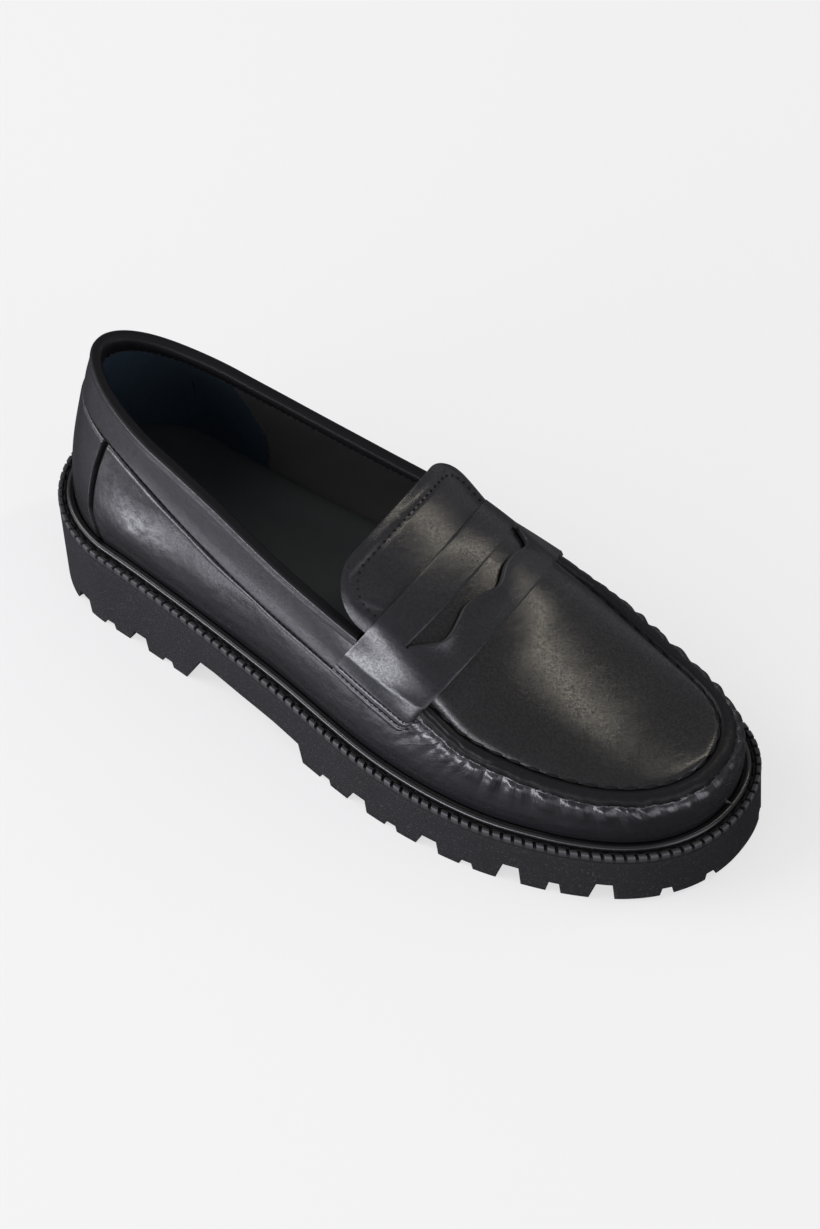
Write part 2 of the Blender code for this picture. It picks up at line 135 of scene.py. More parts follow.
def outward(turn, inset=0.0):
    ax, ay = soleEdge(turn - 1e-3, inset)
    bx, by = soleEdge(turn + 1e-3, inset)
    nx, ny = by - ay, ax - bx
    size = np.hypot(nx, ny)
    return nx / size, ny / size


def topHalf(x, depth):
    half = ease(topRows, "half", x) - depth
    reach, power = last["topHeelRound"]
    half = half * rounding(x - last["topRear"] - depth, reach - depth, power)
    reach, power = last["topToeRound"]
    return half * rounding(last["topFront"] - depth - x, reach - depth, power)


def topEdge(turn, depth=0.0):
    x = last["topRear"] + depth + (last["topFront"] - last["topRear"] - 2 * depth) * alongTurn(turn)
    y = ease(topRows, "centre", x) + sideOf(turn) * topHalf(x, depth)
    z = ease(topRows, "height", x) - depth * fade(*last["apronFrom"], x)
    return x, y, z


def wallPoint(turn, rise, depth=0.0):
    # side of the upper from the welt (rise 0) to the top line (rise 1)
    turn, rise, depth = np.broadcast_arrays(turn, rise, depth)
    inset = last["weltWidth"] + depth
    bx, by = soleEdge(turn, inset)
    bz = ease(soleRows, "rim", bx)
    tx, ty, tz = topEdge(turn, depth)
    nx, ny = outward(turn, inset)
    bulge = ease(topRows, "bulge", tx)
    kz = bz + (tz - bz) * ease(topRows, "shoulder", tx)
    low, mid, high = (1 - rise) ** 2, 2 * rise * (1 - rise), rise**2
    return np.stack((
        bx * low + (bx + nx * bulge) * mid + tx * high,
        by * low + (by + ny * bulge) * mid + ty * high,
        bz * low + kz * mid + tz * high,
    ), axis=-1)


def wallNormal(turn, rise, depth=0.0):
    along = wallPoint(turn + 1e-3, rise, depth) - wallPoint(turn - 1e-3, rise, depth)
    up = wallPoint(turn, rise + 5e-3, depth) - wallPoint(turn, rise - 5e-3, depth)
    normal = np.cross(along, up)
    return normal / np.linalg.norm(normal, axis=-1, keepdims=True)


def plugPoint(x, across, depth=0.0):
    # instep and apron between the two sides of the top line
    y = ease(topRows, "centre", x) + across * topHalf(x, depth)
    lift = np.clip(1 - across**2, 0.0, 1.0) ** ease(topRows, "arch", x)
    z = ease(topRows, "height", x) - depth + ease(topRows, "crown", x) * lift
    return np.stack(np.broadcast_arrays(x, y, z), axis=-1)


def solve(miss, low, high):
    for _ in range(40):
        middle = (low + high) / 2
        under = miss(middle) < 0
        low, high = np.where(under, middle, low), np.where(under, high, middle)
    return (low + high) / 2


def reachOf(point):
    return point[..., 0] - last["lean"] * point[..., 2]


def turnOnPlane(reach, rise, depth=0.0):
    reach, rise = np.broadcast_arrays(reach, rise)
    start = np.full(reach.shape, 0.2)
    return solve(lambda t: reachOf(wallPoint(t, rise, depth)) - reach, start, start + 0.7)


def instepPoint(reach, across):
    # over the instep on planes square to it; past -1 and 1 it runs down the sides
    reach, across = np.broadcast_arrays(np.asarray(reach, float), np.asarray(across, float))
    inner = np.clip(across, -1, 1)
    start = np.full(reach.shape, 0.10)
    x = solve(lambda at: reachOf(plugPoint(at, inner)) - reach, start, start + 0.15)
    over = plugPoint(x, inner)
    rise = np.clip(2 - np.abs(across), 0, 1)
    turn = turnOnPlane(reach, rise)
    beside = wallPoint(np.where(across < 0, turn, 2 - turn), rise)
    return np.where((np.abs(across) <= 1)[..., None], over, beside)


middleY = soleEdge(2 * np.arange(96) / 96, -last["flare"])[1]
toFrame = Vector((-last["length"] / 2, -(middleY.min() + middleY.max()) / 2, 0.0))


# Mesh helpers

def gridSheet(bm, columns, rows, place):
    # flat grid whose vertices are moved to place(column, row); gives each vertex its column and row
    made = bmesh.ops.create_grid(bm, x_segments=columns, y_segments=rows, size=0.5)["verts"]
    spots = np.array([(v.co.x + 0.5, v.co.y + 0.5) for v in made])
    column = np.rint(spots[:, 0] * columns).astype(int)
    row = np.rint(spots[:, 1] * rows).astype(int)
    for v, point in zip(made, place(column, row)):
        v.co = point
    return dict(zip(made, zip(column, row)))


def cornerOf(face, places):
    # lowest column and row of a face
    return np.min([places[v] for v in face.verts], axis=0)


def closeSeams(bm):
    bmesh.ops.remove_doubles(bm, verts=bm.verts, dist=2e-6)
    bmesh.ops.dissolve_degenerate(bm, edges=bm.edges, dist=1e-7)


def lineLength(line):
    return np.concatenate(([0.0], np.cumsum(np.linalg.norm(np.diff(line, axis=0), axis=1))))


def walk(points, ups, pitch):
    # evenly spaced places along a dense line, with the way it runs and its up
    length = lineLength(points)
    count = max(1, int(round(length[-1] / pitch)))
    at = (np.arange(count) + 0.5) * length[-1] / count
    pick = lambda rows, s: np.stack([np.interp(s, length, rows[:, k]) for k in range(3)], axis=-1)
    return pick(points, at), pick(points, at + 2e-4) - pick(points, at - 2e-4), pick(ups, at)


def axes(x, y, z):
    return Matrix((x, y, z)).transposed().to_4x4()


def addStitches(bm, points, ups, look):
    # a row of thread ends: stretched balls lying along the line
    for place, way, up in zip(*walk(points, ups, look["pitch"])):
        z = Vector(up).normalized()
        x = Vector(way).normalized()
        x = (x - z * x.dot(z)).normalized()
        turn = axes(x, z.cross(x), z)
        size = Matrix.Diagonal((look["long"] / 2, look["wide"] / 2, look["tall"] / 2, 1.0))
        spot = Matrix.Translation(Vector(place) + z * look["lift"])
        bmesh.ops.create_uvsphere(bm, u_segments=8, v_segments=6, radius=1.0, matrix=spot @ turn @ size)


def objectFrom(name, bm):
    mesh = bpy.data.meshes.new(name)
    bm.to_mesh(mesh)
    bm.free()
    made = bpy.data.objects.new(name, mesh)
    bpy.context.scene.collection.objects.link(made)
    return made


def addPiece(name, bm, materials, slotName, *nodes, sharp=45):
    bmesh.ops.translate(bm, verts=bm.verts, vec=toFrame)
    piece = objectFrom(name, bm)
    for material in materials:
        piece.data.materials.append(material)
    piece.data.shade_smooth()
    piece.data.set_sharp_from_angle(angle=math.radians(sharp))
    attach(piece, "root")
    if nodes:
        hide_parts(*nodes)
    return piece


def thicken(piece, thick, edgeRound=0.0):
    # wall inwards from the face that shows, its cut edges eased and given the last material
    wall = piece.modifiers.new("wall", "SOLIDIFY")
    wall.thickness, wall.offset = thick, -1.0
    wall.material_offset_rim = len(piece.data.materials) - 1
    if edgeRound:
        edge = piece.modifiers.new("edge", "BEVEL")
        edge.width, edge.segments, edge.profile, edge.material = edgeRound, 2, 0.5, -1
        edge.limit_method, edge.angle_limit = "ANGLE", math.radians(50)


# Shader maths: a socket that takes the usual operators

class Socket:
    def __init__(self, tree, out=None):
        self.tree, self.out = tree, out

    def node(self, kind, settings, sockets, give=0):
        made = self.tree.nodes.new(kind)
        for name, value in settings.items():
            if name == "stops":
                while len(made.color_ramp.elements) < len(value):
                    made.color_ramp.elements.new(0.5)
                for stop, (at, shade) in zip(made.color_ramp.elements, value):
                    stop.position, stop.color = at, (shade, shade, shade, 1.0)
            else:
                setattr(made, name, value)
        plug(self.tree, made, sockets)
        return Socket(self.tree, made.outputs[give])

    def maths(self, operation, first, second):
        return self.node("ShaderNodeMath", {"operation": operation}, {0: first, 1: second})

    def __add__(self, other):
        return self.maths("ADD", self, other)

    def __sub__(self, other):
        return self.maths("SUBTRACT", self, other)

    def __rsub__(self, other):
        return self.maths("SUBTRACT", other, self)

    def __mul__(self, other):
        return self.maths("MULTIPLY", self, other)

    __radd__, __rmul__ = __add__, __mul__


def plug(tree, node, sockets):
    # links sockets and sets plain values, by the input's name or number
    for name, value in sockets.items():
        if isinstance(value, Socket):
            tree.links.new(value.out, node.inputs[name])
        else:
            node.inputs[name].default_value = value


def newMaterial(name):
    material = bpy.data.materials.new(name)
    material.use_nodes = True
    tree = material.node_tree
    shader = tree.nodes["Principled BSDF"]
    start = Socket(tree)
    coords = start.node("ShaderNodeTexCoord", {}, {}, "Object")
    return material, tree, shader, start, coords


def noise(start, coords, scale, detail=2.0, rough=0.5):
    return start.node("ShaderNodeTexNoise", {}, {
        "Vector": coords, "Scale": scale, "Detail": detail, "Roughness": rough})


def blend(start, share, *colours):
    # from the first colour to the second as share goes from 0 to 1
    first, second = (c if isinstance(c, Socket) else (*c, 1.0) for c in colours)
    return start.node("ShaderNodeMix", {"data_type": "RGBA"}, {0: share, 6: first, 7: second}, 2)


def marked(start, name):
    # value that the mesh carries under this name
    return start.node("ShaderNodeAttribute", {"attribute_name": name}, {}, "Fac")


def stepped(start, value, stops):
    return start.node("ShaderNodeValToRGB", {"stops": stops}, {"Fac": value})


def leather(name, look):
    # smooth calf: fine pebble grain and faint stretch marks under a thin polish
    material, tree, shader, start, coords = newMaterial(name)
    broad = noise(start, coords, look["cloud"], 3.0)
    fine = noise(start, coords, look["grain"], 2.0, 0.6)
    dents = noise(start, coords, look["dent"], 2.0)
    cells = start.node("ShaderNodeTexVoronoi", {"feature": "DISTANCE_TO_EDGE"}, {
        "Vector": coords, "Scale": look["pebble"]})
    domes = cells.maths("MINIMUM", cells, look["dome"])
    shade = blend(start, broad, look["dark"], look["light"])
    height = domes * look["creases"] + fine + dents * look["dents"]
    if "pleats" in look:
        # fine creases that run with the puckers
        lines = start.node("ShaderNodeTexNoise", {"noise_dimensions": "1D"}, {
            "W": marked(start, "pleat"), "Scale": look["pleats"], "Detail": 2.0})
        height = height + lines * marked(start, "gathered") * look["pleatTall"]
    bump = start.node("ShaderNodeBump", {}, {
        "Strength": look["bump"], "Distance": look["deep"], "Height": height})
    roughness = broad * look["patch"] + fine * look["speckle"]
    roughness = roughness + (look["rough"] - look["patch"] / 2 - look["speckle"] / 2)
    sockets = {
        "Base Color": shade, "Roughness": roughness, "Normal": bump,
        "Specular IOR Level": look["shine"], "Coat Roughness": look["coatRough"]}
    if look["coat"]:
        # the polish lies on the grain's tops
        polish = stepped(start, fine, look["glint"]) * (2 * look["coat"])
        if "buffed" in look:
            # rubbed places take more polish, broken up by a mottle
            spots = noise(start, coords, look["mottle"], 4.0, 0.7)
            polish = polish + marked(start, "buffed") * stepped(start, spots, look["spots"]) * look["buffed"]
        sockets["Coat Weight"] = polish
    plug(tree, shader, sockets)
    return material


def rubber(name, look):
    # matte moulding with a fine speckle; lighter tooth tops are a painted highlight, read from the mesh's
    # own values
    material, tree, shader, start, coords = newMaterial(name)
    broad = noise(start, coords, look["cloud"], 3.0)
    fine = noise(start, coords, look["grain"], 2.0, 0.7)
    shade = blend(start, broad * 0.5 + fine * 0.5, look["dark"], look["light"])
    # painted highlight: lighter colour where the mesh marks the tooth tops
    if "toothHighlightColour" in look:
        shade = blend(start, marked(start, "wear") * (broad + 0.25), shade, look["toothHighlightColour"])
    if "speck" in look:
        shade = blend(start, stepped(start, fine, look["speckStops"]), shade, look["speck"])
    bump = start.node("ShaderNodeBump", {}, {
        "Strength": look["bump"], "Distance": look["deep"], "Height": fine})
    roughness = fine * look["patch"] + (look["rough"] - look["patch"] / 2)
    plug(tree, shader, {
        "Base Color": shade, "Roughness": roughness, "Normal": bump, "Specular IOR Level": look["shine"]})
    return material


calfLook = {
    "dark": (0.0065, 0.0065, 0.0075), "light": (0.0105, 0.0105, 0.0120),
    "cloud": 35.0, "grain": 1300.0, "pebble": 1400.0, "dome": 0.25, "creases": 1.3,
    "dent": 150.0, "dents": 9.0, "bump": 1.0, "deep": 0.00004,
    "rough": 0.25, "patch": 0.10, "speckle": 0.08, "shine": 0.34, "coat": 0.15, "coatRough": 0.20,
    "glint": ((0.42, 0.0), (0.60, 1.0)), "mottle": 260.0, "spots": ((0.40, 0.1), (0.60, 1.0)),
}
calf = leather("calf_leather", {**calfLook, "buffed": 1.0, "pleats": 900.0, "pleatTall": 8.0})
lipCalf = leather("lip_leather", {
    **calfLook, "dark": (0.0045, 0.0045, 0.0050), "light": (0.0080, 0.0080, 0.0088),
    "rough": 0.42, "shine": 0.12, "coat": 0.03, "dents": 6.0})
apronCalf = leather("apron_leather", {
    **calfLook, "dark": (0.0060, 0.0060, 0.0058), "light": (0.0100, 0.0098, 0.0092),
    "dents": 3.0, "rough": 0.23, "coat": 0.20, "shine": 0.32})
saddleCalf = leather("saddle_leather", {**calfLook, "dents": 4.0, "mottle": 600.0, "buffed": 0.35})
rollCalf = leather("roll_leather", {**calfLook, "rough": 0.30, "shine": 0.29, "dents": 4.0})
rollTop = leather("roll_top_leather", {
    **calfLook, "dark": (0.0040, 0.0040, 0.0045), "light": (0.0070, 0.0070, 0.0078),
    "rough": 0.44, "shine": 0.10, "coat": 0.02, "dents": 4.0})
# painted shade: near-black dull leather laid where shade falls, in the heel grooves, at the collar seam and
# under the lip
seamShade = leather("painted_seam_shade", {
    **calfLook, "dark": (0.002, 0.002, 0.002), "light": (0.004, 0.004, 0.004),
    "rough": 0.80, "coat": 0.0, "shine": 0.05})
# cut edges: grey well above the calf, a painted highlight along the strap's and tongue's rims
cutEdgeHighlight = leather("cut_edge_painted_highlight", {
    **calfLook, "dark": (0.028, 0.028, 0.029), "light": (0.046, 0.046, 0.047), "rough": 0.34, "bump": 0.3})
liningCalf = leather("lining_leather", {
    **calfLook, "dark": (0.046, 0.0430, 0.0415), "light": (0.066, 0.0615, 0.0590),
    "rough": 0.50, "coat": 0.0, "shine": 0.45, "bump": 0.3})
gripSuede = leather("heel_grip_suede", {
    **calfLook, "dark": (0.012, 0.0230, 0.0340), "light": (0.018, 0.0320, 0.0460),
    "rough": 0.72, "coat": 0.0, "shine": 0.3, "bump": 0.5})
sockCalf = leather("sock_leather", {
    **calfLook, "dark": (0.022, 0.0260, 0.0255), "light": (0.034, 0.0390, 0.0380),
    "rough": 0.55, "coat": 0.0, "shine": 0.4, "bump": 0.35})
soleRubber = rubber("sole_rubber_matte", {
    "dark": (0.0050, 0.0050, 0.0058), "light": (0.0125, 0.0125, 0.0138), "cloud": 60.0, "grain": 1300.0,
    "speck": (0.036, 0.036, 0.038), "speckStops": ((0.60, 0.0), (0.70, 1.0)), "bump": 0.6, "deep": 0.0004,
    "rough": 0.66, "patch": 0.25, "shine": 0.17})
stripRubber = rubber("welt_rubber_matte", {
    "dark": (0.005, 0.005, 0.0055), "light": (0.011, 0.011, 0.0120), "toothHighlightColour": (0.060, 0.060, 0.064),
    "cloud": 180.0, "grain": 1300.0, "bump": 0.3, "deep": 0.0003,
    "rough": 0.55, "patch": 0.2, "shine": 0.25})
beadRubber = rubber("bead_rubber_gloss", {
    "dark": (0.005, 0.005, 0.005), "light": (0.009, 0.009, 0.009), "cloud": 80.0, "grain": 900.0,
    "bump": 0.05, "deep": 0.0002, "rough": 0.24, "patch": 0.08, "shine": 0.42})
threadBlack = rubber("waxed_thread", {
    "dark": (0.003, 0.003, 0.003), "light": (0.007, 0.007, 0.007), "cloud": 300.0, "grain": 3600.0,
    "bump": 0.6, "deep": 0.0002, "rough": 0.65, "patch": 0.15, "shine": 0.15})
print("materials ready")


# Vamp and quarters, one wall all the way round
wallLook = {
    "columns": 1240, "rows": 68, "backRows": 6,
    # extra columns at the heel seam: how many more, at which turn, how wide; then on the lip's two sides
    "heelColumns": (5.0, 0.20, 0.035), "lipColumns": (3.2, 1.8), "lipFrom": (0.54, 0.60),
    # share of the rows above the collar seam, crowding of rows, and where its rear kind ends
    "rowsAbove": 0.18, "crowdRear": 2.6, "crowdFront": 1.8, "crowdTurn": (0.145, 0.165),
    "wave": 0.00012, "innerSwell": -0.8, "collarEnd": (0.150, 0.160),
    "heelSeamZ": (0.038, 0.044, 0.053, 0.064, 0.075, 0.086),
    "heelSeamX": (0.0335, 0.0325, 0.0311, 0.0324, 0.0339, 0.0366),
    "heelSeamDeep": 0.0023, "heelSeamWide": 0.00105, "heelSeamTop": (-0.0004, 0.0012), "heelFront": 0.06,
    "heelStep": 0.0004, "heelStepLong": (0.006, 0.004), "shadeWide": 0.00025,
    "foldTall": 0.0009, "foldRound": 0.0007, "foldLong": 0.010, "tuckDeep": 0.0008,
    "lipTall": 0.0008, "lipWide": 0.0062, "lipStart": (0.160, 0.170), "scallop": 0.06,
    "lipWander": (0.12, 0.05),    # of its height and of its lower edge
    "lineDeep": 0.00010, "lineCount": 19, "lineEnd": (0.018, 0.045),    # drawn lines on it near the strap
    "seamDip": 0.0009, "lipUnder": 0.0006, "underAt": 0.0002, "underWide": 0.0012,
    "pillow": 0.0008, "pillowAt": 0.0042, "pillowWide": 0.0032,
    "puckerStart": (-0.0004, 0.0024), "puckerOnLip": 0.16, "innerShift": 0.0035,
}

# Puckers below the lip, one by one, millimetres:
# place along the seam from the strap, depth, half width, length, lean
puckers = np.array((
    (2.2, 0.20, 0.6, 8.0, -1.00), (3.8, 0.28, 0.8, 13.0, -0.80), (7.4, 0.18, 0.5, 10.0, -0.95),
    (8.9, 0.32, 0.9, 15.0, -0.60), (12.6, 0.22, 0.6, 9.0, -0.75), (14.6, 0.36, 0.8, 14.0, -0.45),
    (18.9, 0.34, 1.1, 10.0, -0.55), (21.2, 0.30, 0.6, 7.0, -0.20), (24.5, 0.72, 1.1, 8.5, -0.25),
    (30.0, 0.85, 1.3, 8.0, -0.15), (34.5, 0.40, 0.7, 7.0, -0.05), (39.0, 0.75, 1.4, 7.0, 0.00),
    (48.0, 0.65, 1.5, 7.0, 0.15), (53.0, 0.35, 0.8, 6.0, 0.10), (58.0, 0.65, 1.3, 6.5, 0.15),
    (64.5, 0.80, 1.2, 8.0, 0.25), (67.5, 0.45, 0.6, 9.0, 0.45), (70.5, 0.75, 0.8, 9.5, 0.45),
    (77.0, 0.60, 1.2, 7.5, 0.25), (82.0, 0.55, 1.0, 7.0, 0.15), (89.0, 0.55, 1.2, 6.5, 0.10),
    (95.0, 0.40, 1.2, 6.0, 0.00),
)) * (0.001, 0.001, 0.001, 0.001, 1.0)

# Soft hollows (-) and swells (+) of the quarters: turn, rise, radius, height
swells = (
    (0.150, 0.55, 0.012, 0.00040), (0.262, 0.44, 0.015, 0.00200), (0.236, 0.68, 0.007, 0.00030),
    (0.290, 0.66, 0.008, 0.00035), (0.330, 0.42, 0.012, -0.00040), (0.365, 0.52, 0.014, 0.00070),
    (0.415, 0.40, 0.015, -0.00025), (0.470, 0.50, 0.016, 0.00030), (0.545, 0.30, 0.016, -0.00025),
    (0.610, 0.35, 0.012, 0.00030), (0.680, 0.35, 0.012, -0.00020), (0.760, 0.30, 0.014, 0.00025),
)

# Fine creases below the lip, along the seam from the strap
gatherRows = {
    "at": (0.000, 0.012, 0.026, 0.040, 0.055, 0.066, 0.076, 0.100),
    "lean": (-0.95, -0.70, -0.25, 0.00, 0.15, 0.40, 0.25, 0.00),
    "share": (1.0, 1.0, 0.8, 0.5, 0.5, 0.9, 0.5, 0.4), "long": 0.0085,
}

# Places rubbed to a higher polish: turn, rise, radius, share
buffs = (
    (0.205, 0.74, 0.006, 0.40), (0.224, 0.67, 0.007, 0.60), (0.246, 0.60, 0.008, 0.80),
    (0.268, 0.54, 0.008, 1.00), (0.290, 0.48, 0.008, 0.90), (0.312, 0.45, 0.007, 0.45),
    (0.618, 0.66, 0.006, 0.60), (0.645, 0.62, 0.005, 0.60), (0.674, 0.61, 0.004, 0.80),
    (0.705, 0.64, 0.004, 0.60), (0.740, 0.70, 0.004, 0.60), (0.826, 0.70, 0.005, 0.60),
    (0.902, 0.66, 0.005, 1.00), (0.940, 0.66, 0.004, 0.80),
)


def wobble(at, seed):
    # repeatable small wander, a few sines of unlike length
    slow, quick = np.sin(at * 61 + seed), np.sin(at * 143 + 2.1 * seed)
    return (slow + 0.6 * quick + 0.4 * np.sin(at * 277 + 3.7 * seed)) / 2


def nearSide(turn):
    turn = np.mod(turn, 2.0)
    return np.where(turn > 1, 2 - turn, turn)


seamTurns = np.linspace(0, 1, 2001)
seamLine = np.stack(topEdge(seamTurns), axis=-1)
seamLengths = lineLength(seamLine)
seamLengths -= np.interp(last["strapFront"], reachOf(seamLine), seamLengths)    # nought at the strap


def alongSeam(turn):
    return np.interp(nearSide(turn), seamTurns, seamLengths)


def bandAt(turn):
    # rise of the collar seam
    return ease(topRows, "band", topEdge(np.mod(turn, 2.0))[0])


def crowdTurns(count, *bands):
    # turns 0 to 2 with columns drawn closer by weight(side, turn)
    dense = np.linspace(0, 2, 4001)
    weight = 1 + sum(band(nearSide(dense), dense) for band in bands)
    length = np.concatenate(([0], np.cumsum((weight[1:] + weight[:-1]) / 2)))
    return np.interp(np.linspace(0, length[-1], count + 1), length, dense)


def wallRises(turns):
    # rows close together at the collar seam behind the strap, and at the lip in front of it
    above = wallLook["rowsAbove"]
    down = np.linspace(0, 1, wallLook["rows"] + 1)[None, :]
    crowd = lambda u, power: (np.exp(power * u) - 1) / (math.exp(power) - 1)
    band = bandAt(turns)[:, None]
    lower = crowd(np.clip((down - above) / (1 - above), 0, 1), wallLook["crowdRear"])
    rear = np.where(down < above, (1 - band) * down / above, (1 - band) + band * lower)
    front = fade(*wallLook["crowdTurn"], topEdge(turns)[0])[:, None]
    return (1 - rear * (1 - front) - crowd(down, wallLook["crowdFront"]) * front)[:, ::-1]


def fromPucker(turn, place):
    # distance along the seam, a little further on at the inner side
    return alongSeam(turn) - place - np.where(turn > 1, wallLook["innerShift"], 0.0)


def puckerRelief(turn, fromTop, edge):
    # sharp valleys with rounded shoulders, drawn in at the lip's edge and dying away below
    under = np.clip(fromTop - edge, 0.0, 1.0)
    below = fade(*wallLook["puckerStart"], fromTop - edge)
    onLip = hump(fromTop / edge - 0.75, 0.45)
    relief = 0.0
    for place, deep, wide, long, lean in puckers:
        shift = np.abs(fromPucker(turn, place) - lean * under)
        valley = 0.6 * np.exp(-(shift / (1.7 * wide)) ** 1.6) + 0.4 * np.exp(-shift / (0.4 * wide))
        swell = 0.5 * hump(shift - 2.9 * wide, 1.4 * wide)
        relief = relief - deep * below * np.exp(-(under / long) ** 1.5) * (valley - swell)
        relief = relief - wallLook["puckerOnLip"] * deep * onLip * np.exp(-(shift / (1.2 * wide)) ** 1.3)
    return relief


def lipEdge(turn):
    # lower edge of the lip, drawn in at each pucker, and how near a pucker is
    pull = 0.0
    for place, deep, wide, _, _ in puckers:
        pull = pull + deep / 0.001 * hump(fromPucker(turn, place), 0.0012 + wide)
    pull = np.clip(pull, 0, 1)
    wander = wallLook["lipWander"][1] * wobble(alongSeam(turn) * 9, 0.4)
    return wallLook["lipWide"] * (1 + wander - wallLook["scallop"] * pull), pull


def quarterRelief(turn, rise, point, fromTop, along):
    # waves and swells, the folded top edge and the heel seams; the mask marks where painted shade goes in
    # these seams
    x, z = point[..., 0], point[..., 2]
    relief = wallLook["wave"] * wobble(turn * 0.35 + rise * 0.02, 1.3)
    for place, up, radius, tall in swells:
        for spot, sign in ((place, 1.0), (2 - place, wallLook["innerSwell"])):
            away = np.linalg.norm(point - wallPoint(spot, up), axis=-1)
            relief = relief + sign * tall * hump(away, radius)

    # folded top edge of the quarter, lapping the collar band
    height = np.max(fromTop, axis=-1, keepdims=True)
    below = (bandAt(turn) - rise) * height
    collar = 1 - fade(*wallLook["collarEnd"], x)
    lap = np.clip(below, 0.0, 1.0)
    edge = 1 - np.exp(-lap / wallLook["foldRound"])
    fold = wallLook["foldTall"] * edge * np.exp(-lap / wallLook["foldLong"])
    relief = relief + collar * np.where(below > 0, fold, -wallLook["tuckDeep"])

    # heel side seams: a deep groove with the heel piece standing a little higher
    seamX = np.interp(z, wallLook["heelSeamZ"], wallLook["heelSeamX"])
    off = (x - seamX) / np.maximum(np.abs(along[..., 0]), 0.2)
    opened = fade(*wallLook["heelSeamTop"], below) * (x < wallLook["heelFront"])
    groove = wallLook["heelSeamDeep"] * np.exp(-(np.abs(off) / wallLook["heelSeamWide"]) ** 4)
    behind, ahead = wallLook["heelStepLong"]
    shoulder = wallLook["heelStep"] * np.where(off < 0, np.exp(off / behind), 0.4 * np.exp(-off / ahead))
    # painted shade in the heel groove and in a thin strip at the collar seam
    shadeMask = (opened > 0.5) & (np.abs(off) < 0.9 * wallLook["heelSeamWide"])
    shadeMask |= (collar > 0.5) & (below > 0) & (below < wallLook["shadeWide"])
    return relief + opened * (shoulder - groove), shadeMask


def lipRelief(turn, fromTop):
    # rolled lip beside the apron seam, its underside and the pillow of leather below it
    s, (edge, pull) = alongSeam(turn), lipEdge(turn)
    under = fromTop - edge
    q = fromTop / edge
    tall = wallLook["lipTall"] * (1 + wallLook["lipWander"][0] * wobble(s * 7, 2.2))
    lip = tall * np.clip(1 - np.abs((q - 0.55) / 0.55) ** 2.6, 0, 1)
    lines = np.sin(q * wallLook["lineCount"] + 3 * wobble(s * 3, 1.0)) * hump(q - 0.55, 0.4)
    lip = lip + wallLook["lineDeep"] * lines * (1 - fade(*wallLook["lineEnd"], s))
    lip = lip - wallLook["seamDip"] * hump(fromTop, 0.0009)
    hollow = hump(under - wallLook["underAt"], wallLook["underWide"])
    lip = lip - wallLook["lipUnder"] * (0.2 + 0.8 * pull) * hollow
    pillow = hump(under - wallLook["pillowAt"], wallLook["pillowWide"])
    lip = lip + wallLook["pillow"] * (1 - 0.8 * pull) * pillow
    # painted shade along the lip's underside, wider at the puckers
    shadeMask = np.abs(under - wallLook["underAt"]) < 1.6 * wallLook["shadeWide"] * pull
    return lip + puckerRelief(turn, fromTop, edge), shadeMask, under < 0


def wallRelief(turn, rise, point, fromTop, along):
    # how far the leather stands off the plain wall, and its material: 0 polished, 1 painted shade in the
    # seams, 2 lip
    relief, shadeMask = quarterRelief(turn, rise, point, fromTop, along)
    lip, lipShadeMask, onLip = lipRelief(turn, fromTop)
    front = fade(*wallLook["lipStart"], point[..., 0])
    shadeMask |= (front > 0.5) & lipShadeMask
    return relief + front * lip, np.where(shadeMask, 1, np.where((front > 0.5) & onLip, 2, 0))


def pleatMarks(turn, point, fromTop):
    # how far along the seam a fine crease starts, and how strongly the leather is gathered there
    s, (edge, _) = alongSeam(turn), lipEdge(turn)
    under = np.clip(fromTop - edge, 0.0, 1.0)
    lean, share = (np.interp(s, gatherRows["at"], gatherRows[k]) for k in ("lean", "share"))
    share = share * np.exp(-(under / gatherRows["long"]) ** 1.4)
    front = fade(*wallLook["lipStart"], point[..., 0])
    return s - lean * under, share * front * (fromTop > edge)


def shellRows(front, back):
    # one closed band: the front rows, a rim, the back rows, and feet tucked behind the welt
    rim = (front[:, -1:] + back[:, :1]) / 2
    drop = np.array((0.0, 0.0, last["weltThick"]))
    first, final = front[:, :1] - drop, back[:, -1:] - drop
    return np.concatenate((first, front, rim, back, final, first), axis=1)


